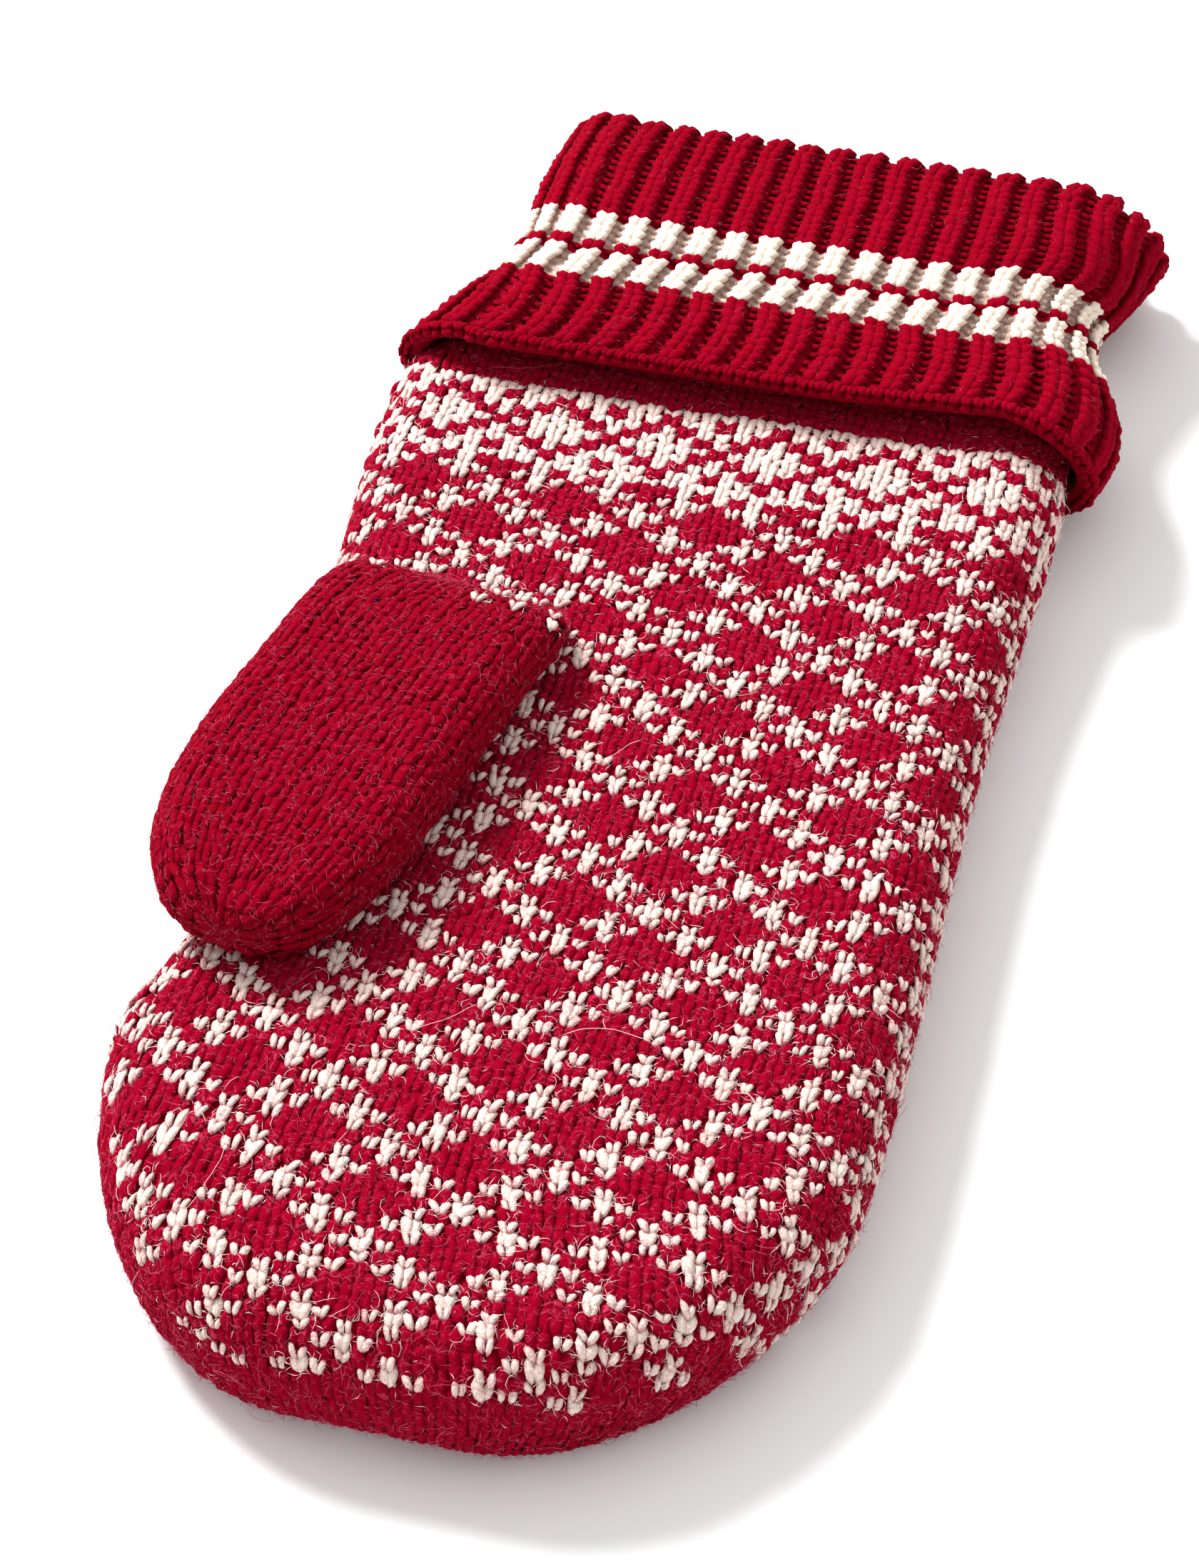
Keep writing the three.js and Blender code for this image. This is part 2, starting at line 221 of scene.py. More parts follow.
# Spun wool: fine fibres run along the yarn and turn round it, and curly loose ones lie over it.
# The flanks and ends of each strand, where its crest value is low, are painted in shade: between
# stitches of its own colour they take a darker shade colour, and beside a stitch of the other colour
# the colour "deep", where the yarn's fibres fray into that colour. The edge of this painted shade is
# ragged; one pair of values sets where it starts and ends on the way from the flank to the crest,
# and loose how strong the stray fibres are.
def wool(name, deep, flank_shade, body, light, stray, loose, fringe_and_shade_reach, fuzz):
    deep, flank_shade, body, light, stray = [linear(colour) for colour in (deep, flank_shade, body, light, stray)]
    material, shader = new_material(name, *WOOL_FINISH)
    tree = material.node_tree
    place = node(tree, "ShaderNodeTexCoord", {})["Object"]
    crest, along, around, tone, other = [
        node(tree, "ShaderNodeAttribute", {}, attribute_name=key)["Fac"]
        for key in ("crest", "along", "around", "tone", "other")
    ]
    grain = {"Scale": 1 / (FUZZ_SIZE * MM), "Detail": 3.0, "Roughness": 0.7, "Distortion": 1.5}
    fuzz_noise = node(tree, "ShaderNodeTexNoise", {"Vector": place, **grain})["Fac"]
    grain = {"Scale": 1 / (CLUMP_SIZE * MM), "Detail": 2.0, "Roughness": 0.5}
    clumps = node(tree, "ShaderNodeTexNoise", {"Vector": place, **grain})["Fac"]

    # fibres of the yarn, and curls over it
    twist = {0: along, 1: YARN_TWIST, 2: around}
    twisted = node(tree, "ShaderNodeMath", twist, operation="MULTIPLY_ADD")[0]
    run = node(tree, "ShaderNodeCombineXYZ", {"X": along, "Y": twisted, "Z": tone})[0]
    run = node(tree, "ShaderNodeVectorMath", {0: run, 1: YARN_FIBRES}, operation="MULTIPLY")[0]
    grain = {"Scale": 1.0, "Detail": 3.0, "Roughness": 0.6, "Distortion": 0.4}
    fibres = node(tree, "ShaderNodeTexNoise", {"Vector": run, **grain})["Fac"]
    pale_lines = curly_lines(tree, place, *PALE_CURLS)
    stray_lines = curly_lines(tree, place, *STRAY_CURLS)

    # relief of fuzz, fibres and curls
    lines = node(tree, "ShaderNodeMath", {0: pale_lines, 1: stray_lines}, operation="ADD")[0]
    height = node(tree, "ShaderNodeMath", {0: fuzz_noise, 1: fuzz}, operation="MULTIPLY")[0]
    height = node(tree, "ShaderNodeMath", {0: fibres, 1: 0.6, 2: height}, operation="MULTIPLY_ADD")[0]
    height = node(tree, "ShaderNodeMath", {0: lines, 1: 0.12, 2: height}, operation="MULTIPLY_ADD")[0]
    relief = {"Height": height, "Strength": BUMP_STRENGTH, "Distance": BUMP_DEPTH * MM}
    tree.links.new(node(tree, "ShaderNodeBump", relief)["Normal"], shader.inputs["Normal"])

    # ragged edge with painted shade on the flanks, then lighter fibres, pale curls and stray ones over
    # it
    ragged = node(tree, "ShaderNodeMath", {0: fuzz_noise, 1: 1.3, 2: crest}, operation="MULTIPLY_ADD")[0]
    ragged = node(tree, "ShaderNodeMath", {0: fibres, 1: 0.9, 2: ragged}, operation="MULTIPLY_ADD")[0]
    ends = {"Value": ragged, "From Min": 1.1 + fringe_and_shade_reach[0], "From Max": 1.1 + fringe_and_shade_reach[1]}
    inside = node(tree, "ShaderNodeMapRange", ends, interpolation_type="SMOOTHSTEP")["Result"]
    # the flank's colour: painted shade, or the fringe colour deep beside the other colour
    edge = node(tree, "ShaderNodeMix", {0: other, 6: flank_shade, 7: deep}, data_type="RGBA")[2]
    base = node(tree, "ShaderNodeMix", {0: inside, 6: edge, 7: body}, data_type="RGBA")[2]
    ends = {"Value": fibres, "From Min": 0.48, "From Max": 0.75}
    strong = node(tree, "ShaderNodeMapRange", ends, interpolation_type="SMOOTHSTEP")["Result"]
    own = node(tree, "ShaderNodeMath", {0: tone, 1: clumps}, operation="ADD")[0]
    ends = {"Value": own, "From Min": 0.5, "From Max": 1.5}
    bright = node(tree, "ShaderNodeMapRange", ends, interpolation_type="SMOOTHSTEP")["Result"]
    lit = node(tree, "ShaderNodeMath", {0: strong, 1: bright}, operation="MULTIPLY")[0]
    combed = node(tree, "ShaderNodeMix", {0: lit, 6: base, 7: light}, data_type="RGBA")[2]
    pale = node(tree, "ShaderNodeMath", {0: pale_lines, 1: 0.6}, operation="MULTIPLY")[0]
    combed = node(tree, "ShaderNodeMix", {0: pale, 6: combed, 7: light}, data_type="RGBA")[2]
    near = {0: other, 1: 0.65 * loose, 2: 0.35 * loose}
    near = node(tree, "ShaderNodeMath", near, operation="MULTIPLY_ADD")[0]
    shown = node(tree, "ShaderNodeMath", {0: stray_lines, 1: near}, operation="MULTIPLY")[0]
    combed = node(tree, "ShaderNodeMix", {0: shown, 6: combed, 7: stray}, data_type="RGBA")[2]
    tree.links.new(combed, shader.inputs["Base Color"])
    shader.inputs["Sheen Weight"].default_value = 0.06
    shader.inputs["Sheen Roughness"].default_value = 0.45
    shader.inputs["Sheen Tint"].default_value = light
    return material


# Carded sheep's wool, dyed crimson and loosely spun: matt, with soft dark blotches where the painted
# shade of its flanks spreads up through the fuzz, and pink curls where it lies beside the white.
RED_WOOL = wool(
    "red_wool_yarn",
    deep="#a41032",
    flank_shade="#88001c",
    body="#92001f",
    light="#a80a2e",
    stray="#cc4668",
    loose=0.7,
    fringe_and_shade_reach=(0.0, 0.6),
    fuzz=0.7,
)
# The same wool in the thumb's plain knitting: a little deeper, its short fibres felted down.
# Its flanks are painted in a darker shade.
THUMB_WOOL = wool(
    "red_wool_thumb_yarn",
    deep="#7c0014",
    flank_shade="#7c0014",
    body="#89001a",
    light="#9e0222",
    stray="#b42848",
    loose=0.7,
    fringe_and_shade_reach=(0.0, 0.6),
    fuzz=0.7,
)
# The same wool knitted tighter in the ribs: smoother and darker, with hardly a loose fibre.
# Its flanks are painted in a darker shade.
CUFF_WOOL = wool(
    "red_wool_cuff_yarn",
    deep="#820016",
    flank_shade="#820016",
    body="#8d001a",
    light="#9a0422",
    stray="#a81838",
    loose=0.3,
    fringe_and_shade_reach=(0.0, 0.6),
    fuzz=0.5,
)
# Undyed wool of the palm's pattern: warm white, and so fuzzy that its edge frays into the red.
# Between its own stitches its flanks are painted in a darker, greyer shade.
WHITE_WOOL = wool(
    "off_white_wool_yarn",
    deep="#d4707e",
    flank_shade="#ecd4c8",
    body="#ffe4d8",
    light="#fff6f0",
    stray="#d87488",
    loose=0.7,
    fringe_and_shade_reach=(0.35, 0.85),
    fuzz=1.0,
)
# Undyed wool of the cuff's stripes: creamier and smoother, with brownish shade between its strands.
CUFF_WHITE_WOOL = wool(
    "off_white_wool_cuff_yarn",
    deep="#b09484",
    flank_shade="#b09484",
    body="#f4e2d0",
    light="#fff4e6",
    stray="#e2c4b8",
    loose=0.3,
    fringe_and_shade_reach=(0.0, 0.6),
    fuzz=0.5,
)


# The cloth's inner face in plain knitting: rows of purl bumps crossed by carried strands. It shows
# as soft relief inside the mitten and in the depth between the stitches, its low places painted in
# shade with the darker of its two colours.
def backing_wool(name, deep, body, stray):
    material, shader = new_material(name, *WOOL_FINISH)
    tree = material.node_tree
    place = node(tree, "ShaderNodeTexCoord", {})["Object"]
    grain = {"Detail": 3.0, "Roughness": 0.65, "Distortion": 2.0}
    grain["Scale"] = 1 / (CARRIED_STRAND_SIZE * MM)
    strands = node(tree, "ShaderNodeTexNoise", {"Vector": place, **grain})["Fac"]

    # a wave texture repeats each 2 pi / 20 of its scaled place
    rows = {"Vector": place, "Scale": math.pi / (10 * ROW * MM), "Distortion": 1.0}
    rows = node(tree, "ShaderNodeTexWave", rows, bands_direction="Y")["Fac"]
    columns = {"Vector": place, "Scale": math.pi / (10 * STITCH * MM), "Distortion": 1.0}
    columns = node(tree, "ShaderNodeTexWave", columns, bands_direction="X")["Fac"]
    bumps = node(tree, "ShaderNodeMath", {0: columns, 1: 0.4, 2: rows}, operation="MULTIPLY_ADD")[0]
    height = node(tree, "ShaderNodeMath", {0: bumps, 1: 0.6, 2: strands}, operation="MULTIPLY_ADD")[0]
    # painted shade: the lower the relief, the more of the darker colour
    ends = {"Value": height, "From Min": 0.45, "From Max": 1.25}
    raised = node(tree, "ShaderNodeMapRange", ends, interpolation_type="SMOOTHSTEP")["Result"]
    colours = {0: raised, 6: linear(deep), 7: linear(body)}
    mixed = node(tree, "ShaderNodeMix", colours, data_type="RGBA")[2]
    lines = curly_lines(tree, place, *PALE_CURLS)
    lines = node(tree, "ShaderNodeMath", {0: lines, 1: 0.5}, operation="MULTIPLY")[0]
    mixed = node(tree, "ShaderNodeMix", {0: lines, 6: mixed, 7: linear(stray)}, data_type="RGBA")[2]
    tree.links.new(mixed, shader.inputs["Base Color"])
    relief = {"Height": height, "Strength": BUMP_STRENGTH, "Distance": BUMP_DEPTH * MM}
    tree.links.new(node(tree, "ShaderNodeBump", relief)["Normal"], shader.inputs["Normal"])
    return material


# Both backings have painted shade in the low places of their relief. The cream one, behind the cuff's
# stripes, is also darker than their wool all over: painted shade of the furrows.
BACKING = backing_wool("red_wool_backing", deep="#860018", body="#9c0020", stray="#ac1434")
SHADED_PALE_BACKING = backing_wool("off_white_wool_backing_painted_shade", deep="#946e66", body="#c0a498", stray="#d8c4b8")


# A single loose fibre of the wool: lighter than the yarn, as it stands in the light by itself.
def fibre_wool(name, body, pale):
    material, shader = new_material(name, *FIBRE_FINISH)
    tree = material.node_tree
    tone = node(tree, "ShaderNodeAttribute", {}, attribute_name="tone")["Fac"]
    colours = {0: tone, 6: linear(body), 7: linear(pale)}
    mixed = node(tree, "ShaderNodeMix", colours, data_type="RGBA")[2]
    tree.links.new(mixed, shader.inputs["Base Color"])
    return material


RED_FIBRE = fibre_wool("red_wool_fibre", body="#b01638", pale="#d86482")
WHITE_FIBRE = fibre_wool("off_white_wool_fibre", body="#f0d0cc", pale="#fff4ee")
YARNS = [RED_WOOL, WHITE_WOOL]
CUFF_YARNS = [CUFF_WOOL, CUFF_WHITE_WOOL]


# tables and sections

# A smooth curve through a table's rows, read at y: an array for each column after the first.
def read_table(table, y):
    y = np.asarray(y, float)
    last = len(table) - 1
    index = np.clip(np.searchsorted(table[:, 0], y, side="left") - 1, 0, last - 1)
    start, end = table[index], table[index + 1]
    before, after = table[np.maximum(index - 1, 0)], table[np.minimum(index + 2, last)]
    span = (end[..., :1] - start[..., :1])
    t = np.clip((y[..., None] - start[..., :1]) / span, 0, 1)
    slope_start = (end - before) / (end[..., :1] - before[..., :1])
    slope_end = (after - start) / (after[..., :1] - start[..., :1])
    square, cube = t * t, t * t * t
    row = (2 * cube - 3 * square + 1) * start + (cube - 2 * square + t) * span * slope_start
    row += (3 * square - 2 * cube) * end + (cube - square) * span * slope_end
    return [row[..., k] for k in range(1, table.shape[1])]


def smooth_share(value, low, high):
    t = np.clip((value - low) / (high - low), 0, 1)
    return t * t * (3 - 2 * t)


def unit(vectors):
    return vectors / np.maximum(np.linalg.norm(vectors, axis=-1, keepdims=True), 1e-9)


def picked(parts, pick):
    return [part[pick] for part in parts]


# how far a row falls back behind its place on top, at one turn round the section
def lean_back(turn):
    return LIP_LEAN_TOP * (1 - np.sin(turn)) - LIP_LEAN_RIGHT * np.cos(turn)


def tip_edge(side, y):
    start, reach, length, opening, closing = side
    left = 1 - np.clip((y - TIP_START_Y) / length, 0, 1)
    return start + reach * (1 - left ** closing) ** (1 / opening)


# The tip's edge goes on a little along the hand. It is read in rows that lie closer at the tip,
# then in even steps, and its direction is averaged over some of them.
EDGE_GOES_ON = 14.0
EDGE_ROWS = 260
EDGE_STEPS = 700
EDGE_AVERAGED = 41


# edge of the flat palm round the tip, with its outward direction
def tip_inner_edge():
    ease = np.linspace(0, 1, EDGE_ROWS) ** 2
    y = TIP_START_Y + ease * (TIP_END_Y + EDGE_GOES_ON - TIP_START_Y)
    table_left, table_right = read_table(HAND_EDGES, np.maximum(y, TIP_END_Y))[:2]
    left = np.where(y < TIP_END_Y, tip_edge(TIP_LEFT, y), table_left)
    right = np.where(y < TIP_END_Y, tip_edge(TIP_RIGHT, y), table_right)
    outline = np.concatenate([np.c_[left, y][::-1], np.c_[right, y]])
    reach = np.r_[0, np.cumsum(np.hypot(*np.diff(outline, axis=0).T))]
    even = np.linspace(0, reach[-1], EDGE_STEPS)
    outline = np.stack([np.interp(even, reach, values) for values in outline.T], axis=1)
    along = np.gradient(outline, axis=0)
    outward = np.c_[along[:, 1], -along[:, 0]]
    kernel = np.hanning(EDGE_AVERAGED) / np.hanning(EDGE_AVERAGED).sum()
    margin = EDGE_AVERAGED // 2
    padded = np.pad(outward, ((margin, margin), (0, 0)), mode="edge")
    outward = np.stack([np.convolve(values, kernel, "valid") for values in padded.T], axis=1)
    outward /= np.linalg.norm(outward, axis=1)[:, None]
    return outline - outward * RIM, outward


TIP_INNER, TIP_OUTWARD = tip_inner_edge()

# how many places are set against the tip's edge at a time
AT_A_TIME = 4000


# The cloth of the hand as a flat sheet wrapped over the rims: place and outward direction of
# the sheet's point (u, v), for the palm's sheet or for the one under it. Also how far round the
# rim it lies.
def hand_sheet(u, v, below):
    u, v = np.asarray(u, float), np.asarray(v, float)
    place, outward = np.zeros(u.shape + (3,)), np.zeros(u.shape + (3,))
    rim_turn = np.zeros(u.shape)
    side = -1.0 if below else 1.0

    round_tip = v < TIP_END_Y
    if round_tip.any():
        p = np.c_[u[round_tip], v[round_tip]]
        nearest = np.zeros(len(p), int)
        for start in range(0, len(p), AT_A_TIME):
            gap = p[start:start + AT_A_TIME, None, :] - TIP_INNER[None]
            nearest[start:start + AT_A_TIME] = (gap ** 2).sum(2).argmin(1)
        q, n = TIP_INNER[nearest], TIP_OUTWARD[nearest]
        beyond = ((p - q) * n).sum(1)
        rest = p - q - beyond[:, None] * n
        turn = np.clip(beyond / RIM, 0, math.pi)
        flat = np.minimum(beyond, 0)
        spot = q + rest + n * (flat + RIM * np.sin(turn))[:, None]
        place[round_tip] = np.c_[spot, RIM + side * RIM * np.cos(turn)]
        outward[round_tip] = np.c_[n * np.sin(turn)[:, None], side * np.cos(turn)]
        rim_turn[round_tip] = turn

    long_part = ~round_tip
    if long_part.any():
        a, b = u[long_part], v[long_part]
        left, right, low, high = read_table(HAND_EDGES, b)
        radius, middle = (high - low) / 2, (high + low) / 2
        inner_left, inner_right = left + radius, right - radius
        beyond = np.maximum(a - inner_right, 0) - np.maximum(inner_left - a, 0)
        turn = np.clip(np.abs(beyond) / radius, 0, math.pi)
        sign = np.where(beyond < 0, -1.0, 1.0)
        x = np.clip(a, inner_left, inner_right) + sign * radius * np.sin(turn)
        up = side * np.cos(turn)
        angle = np.arctan2(up, sign * np.sin(turn))
        share = smooth_share(b, LEAN_FROM_Y, LEAN_FULL_Y)
        place[long_part] = np.c_[x, b + lean_back(angle) * share, middle + radius * up]
        outward[long_part] = np.c_[sign * np.sin(turn), 0 * b, up]
        rim_turn[long_part] = turn
    return place, outward, rim_turn


# A section of two straight faces and two half circles, gone round from the middle of the lower
# face to the right: x of the point that the place turns about, and its turn there.
def section_spot(share, straight, radius):
    way = np.mod(share, 1.0) * (4 * straight + 2 * math.pi * radius)
    bend = math.pi * radius
    ends = np.stack([straight, straight + bend, 3 * straight + bend, 3 * straight + 2 * bend])
    reached = [way <= end for end in ends]
    level = 0 * way
    x = np.select(
        reached,
        [way, straight, straight - (way - ends[1]), -straight],
        way - ends[3] - straight,
    )
    turns = [
        level - math.pi / 2,
        (way - ends[0]) / radius - math.pi / 2,
        level + math.pi / 2,
        (way - ends[2]) / radius + math.pi / 2,
    ]
    return x, np.select(reached, turns, level + 1.5 * math.pi)


SHORTEST_STRAIGHT = 0.05


# a point of the thumb's outer face: share of the way round, and place along the thumb
def thumb_sheet(share, y):
    middle, half, low, high = read_table(THUMB_SECTIONS, y)
    radius = (high - low) / 2
    straight = np.maximum(half - radius, SHORTEST_STRAIGHT)
    x, turn = section_spot(share, straight, radius)
    x = x + radius * np.cos(turn)
    z = THUMB_REST_Z + (low + high) / 2 + radius * np.sin(turn)
    return np.stack([middle + x, y + THUMB_ROW_SLOPE * x, z], -1)


# A point of the cuff: share of the way round, way from the lip over the fold into the inside, and
# how far it is sunk below the outer face.
def cuff_sheet(share, way, sunk):
    bend = CUFF_LAYERS / 2
    straight_end = CUFF_LENGTH - bend
    turn_over = np.clip((way - straight_end) / bend, 0, math.pi)
    y = np.where(way < straight_end, way, straight_end + bend * np.sin(turn_over))
    y = np.where(way > straight_end + math.pi * bend, 2 * straight_end + math.pi * bend - way, y)
    depth = bend * (1 - np.cos(turn_over)) + sunk * np.cos(turn_over)
    y = y - sunk * np.sin(turn_over)
    left, right, low, high = read_table(CUFF_EDGES, np.clip(y, 0, CUFF_LENGTH))
    radius = (high - low) / 2
    straight = np.maximum((right - left) / 2 - radius, SHORTEST_STRAIGHT)
    x, turn = section_spot(share, straight, radius)
    x = (left + right) / 2 + x + (radius - depth) * np.cos(turn)
    z = (low + high) / 2 + (radius - depth) * np.sin(turn)
    lip = LIP_MIDDLE_Y - LIP_LEAN_TOP + lean_back(turn)
    less, *less_between = LIP_LESS_RIGHT
    more, *more_between = LIP_MORE_LEFT
    reach = LIP_REACH - less * smooth_share(x, *less_between) + more * smooth_share(-x, *more_between)
    return np.stack([x, lip + y - reach * (1 - smooth_share(y, 0, LIP_REACH_LENGTH)), z], -1)


# strands and stitches

# A plump strand: a ball whose poles are the two ends, with its rings drawn out along a line.
# Its points run from ring to ring, the first pole first.
class Strand:
    def __init__(self, line, widths, heights, sides):
        line = np.array(line, float)
        last = len(line) - 1
        ball = bmesh.new()
        bmesh.ops.create_uvsphere(ball, u_segments=sides, v_segments=last, radius=1.0)
        spots = np.array([vertex.co for vertex in ball.verts])
        ring = np.rint(last * np.arccos(np.clip(spots[:, 2], -1, 1)) / math.pi).astype(int)
        pole = (ring == 0) | (ring == last)
        angle = np.arctan2(spots[:, 1], spots[:, 0])
        step = np.rint((angle - angle[~pole].min()) * sides / (2 * math.pi)).astype(int) % sides
        step[pole] = 0
        order = np.lexsort((step, ring))
        rank = np.argsort(order)
        ball.verts.index_update()
        faces = [[int(rank[vertex.index]) for vertex in face.verts] for face in ball.faces]
        ball.free()

        # the ball's faces come in another order each time, so they are sorted, lowest point first
        faces = sorted(face[face.index(min(face)):] + face[:face.index(min(face))] for face in faces)
        self.loops = np.concatenate(faces)
        self.sizes = np.array([len(face) for face in faces])
        ring, step, pole = ring[order], step[order], pole[order]

        tangent = unit(np.gradient(line, axis=0))
        across = unit(np.c_[tangent[:, 1], -tangent[:, 0], 0 * tangent[:, 0]])
        angle = 2 * math.pi * (step + 0.5) / sides - math.pi / 2
        width = np.r_[0, widths, 0][ring] * np.cos(angle)
        height = np.r_[0, heights, 0][ring] * np.sin(angle)
        self.points = line[ring] + across[ring] * width[:, None] + np.array([0, 0, 1]) * height[:, None]
        self.along = ring / last
        self.around = np.where(pole, 0.5, (step + 0.5) / sides)
        # crest is 1 along the top of a strand's middle and 0 at its ends and underside; the wool paints
        # shade where it is low.
        arch = np.sin(math.pi * self.along).clip(0) ** 0.5
        self.crest = np.where(pole, 0, arch * (0.5 + 0.5 * np.sin(angle)))


# rings and sides of a strand, by how well it is seen
FINE = (4, 5)
MIDDLING = (3, 5)
PLAIN = (2, 5)
COARSE = (2, 4)

# A leg's line: where it starts and how long it is in rows, then its height at the start, its arch
# and its drop at the open end in millimetres. Last, half its width and half its height.
LEG_START = -0.70
LEG_LENGTH = 1.52
LEG_LOW = 0.14
LEG_ARCH = 0.40
LEG_DROP = 0.20
LEG_HALF_WIDTH = 0.61
LEG_HALF_HEIGHT = 0.47

# A purl bump lies across a furrow: its arch towards the fold and up, then half its width and height.
BUMP_FORWARD = 0.25
BUMP_ARCH = 0.35
BUMP_HALF_WIDTH = 0.55
BUMP_HALF_HEIGHT = 0.45


# One leg of a knit stitch, from the point of the V to its open end; which is +1 or -1. Inner and
# outer are where it starts and ends beside the V's middle, in stitches.
def stitch_leg(
    which, rings, sides, width=STITCH, row=ROW, plump=1.0, inner=0.085, outer=0.41, reach=1.0
):
    shares = np.linspace(0, 1, rings + 2)
    x = which * width * (inner + (outer - inner) * shares ** 0.9)
    y = row * reach * (LEG_START + LEG_LENGTH * shares)
    arch = np.sin(math.pi * np.clip(shares * 1.12, 0, 1)) ** 0.8
    z = LEG_LOW + LEG_ARCH * arch - LEG_DROP * shares ** 3
    swell = np.sin(math.pi * (0.1 + 0.8 * shares[1:-1] ** 1.15)) ** 0.55
    widths, heights = LEG_HALF_WIDTH * plump * swell, LEG_HALF_HEIGHT * plump * swell
    return Strand(np.c_[x, y, z], widths, heights, sides)


def purl_bump(rings, sides, width, plump):
    shares = np.linspace(0, 1, rings + 2)
    arch = np.sin(math.pi * shares)
    line = np.c_[width * (shares - 0.5), BUMP_FORWARD * arch, BUMP_ARCH * arch]
    swell = np.sin(math.pi * (0.12 + 0.76 * shares[1:-1])) ** 0.5
    widths, heights = BUMP_HALF_WIDTH * plump * swell, BUMP_HALF_HEIGHT * plump * swell
    return Strand(line, widths, heights, sides)


# How uneven the stitches are: their turn, their size, and their place across, along and up.
UNEVEN_TURN = 0.07
UNEVEN_SIZE = 0.07
UNEVEN_PLACE = np.array([0.07, 0.06, 0.05])


# Copies of one strand on many places of the cloth, each a little different.
# centre, right, ahead and up are the places and directions; colour is the yarn's number; other is
# how much of the stitch borders on the other colour.
def copies(strand, centre, right, ahead, up, colour, loose=1.0, flat=1.0, other=None):
    count, size = len(centre), len(strand.points)
    swing = rng.normal(0, UNEVEN_TURN * loose, count)
    grow = 1 + rng.normal(0, UNEVEN_SIZE * loose, (count, 1, 3))
    move = rng.normal(0, 1, (count, 1, 3)) * UNEVEN_PLACE * loose
    local = strand.points[None] * grow + move
    local[..., 2] *= flat
    x = local[..., 0] * np.cos(swing)[:, None] - local[..., 1] * np.sin(swing)[:, None]
    y = local[..., 0] * np.sin(swing)[:, None] + local[..., 1] * np.cos(swing)[:, None]
    points = centre[:, None] + right[:, None] * x[..., None] + ahead[:, None] * y[..., None]
    points += up[:, None] * local[..., 2:]
    return {
        "strand": strand,
        "points": points.reshape(-1, 3),
        "count": count,
        "colour": np.asarray(colour, int),
        "tone": np.repeat(rng.random(count), size),
        "other": np.repeat(np.zeros(count) if other is None else other, size),
    }


# Both legs of the picked stitches.
def legs(place, east, north, up, colour, pick, rings, sides, other=None, loose=1.0, flat=1.0, **shape):
    made = []
    for leg, which in enumerate((1, -1)):
        strand = stitch_leg(which, rings, sides, **shape)
        spots = picked((place, east, north, up, colour), pick)
        share = None if other is None else other[pick, leg]
        made.append(copies(strand, *spots, loose, flat, share))
    return made


# Wool that lies on the floor is pressed flat: the last tenths of a millimetre shrink towards it.
PRESSED = 0.4


def pressed(points):
    low = points[:, 2] < PRESSED
    points[low, 2] = PRESSED * np.exp((points[low, 2] - PRESSED) / PRESSED)
    return points


def add_object(name, data):
    made = bpy.data.objects.new(name, data)
    bpy.context.scene.collection.objects.link(made)
    return made


def mesh_of(name, shape):
    mesh = bpy.data.meshes.new(name)
    shape.to_mesh(mesh)
    shape.free()
    return mesh


# A finished mesh becomes a piece of the mitten.
def as_piece(name, mesh, materials):
    for material in materials:
        mesh.materials.append(material)
    mesh.shade_smooth()
    piece = add_object(name, mesh)
    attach(piece, "root")
    print("piece", name, len(mesh.loops) - 2 * len(mesh.polygons), "triangles")
    return piece


# Joined copies become one piece, with its places moved to the frame.
def add_piece(name, groups, materials):
    groups = [group for group in groups if group["count"]]
    points = pressed(np.concatenate([group["points"] for group in groups]))
    loops, sizes, colours, offset = [], [], [], 0
    for group in groups:
        strand, count = group["strand"], group["count"]
        size = len(strand.points)
        base = offset + np.arange(count)[:, None] * size
        loops.append((base + strand.loops[None]).ravel())
        sizes.append(np.tile(strand.sizes, count))
        colours.append(np.repeat(group["colour"], len(strand.sizes)))
        offset += count * size
    loops, sizes = np.concatenate(loops), np.concatenate(sizes)
    mesh = bpy.data.meshes.new(name)
    mesh.vertices.add(len(points))
    mesh.vertices.foreach_set("co", ((points + SHIFT) * MM).astype(np.float32).ravel())
    mesh.loops.add(len(loops))
    mesh.loops.foreach_set("vertex_index", loops.astype(np.int32))
    mesh.polygons.add(len(sizes))
    mesh.polygons.foreach_set("loop_start", np.r_[0, np.cumsum(sizes)[:-1]].astype(np.int32))
    mesh.polygons.foreach_set("material_index", np.concatenate(colours).astype(np.int32))
    mesh.update(calc_edges=True)
    values = {
        "crest": [np.tile(group["strand"].crest, group["count"]) for group in groups],
        "along": [np.tile(group["strand"].along, group["count"]) for group in groups],
        "around": [np.tile(group["strand"].around, group["count"]) for group in groups],
        "tone": [group["tone"] for group in groups],
        "other": [group["other"] for group in groups],
    }
    for key, parts in values.items():
        attribute = mesh.attributes.new(key, "FLOAT", "POINT")
        attribute.data.foreach_set("value", np.concatenate(parts).astype(np.float32))
    as_piece(name, mesh, materials)


# Backing: points closer than this are one, it lies this far inside the solid's walls, and its
# edges sharper than this angle stay sharp.
MERGED = 0.01
BACKING_INSET = 0.1
BACKING_SHARP = math.radians(50)


# The cloth behind the stitches: the solid's own walls, drawn a little inwards.
def add_backing(name, cad_name):
    shape = bmesh.new()
    shape.from_mesh(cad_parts[cad_name].data)
    bmesh.ops.remove_doubles(shape, verts=shape.verts, dist=MERGED * MM)
    shape.normal_update()
    for vertex in shape.verts:
        vertex.co -= vertex.normal * BACKING_INSET * MM
    backing = as_piece(name, mesh_of(name, shape), [BACKING])
    backing.data.set_sharp_from_angle(angle=BACKING_SHARP)
    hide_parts(cad_name)


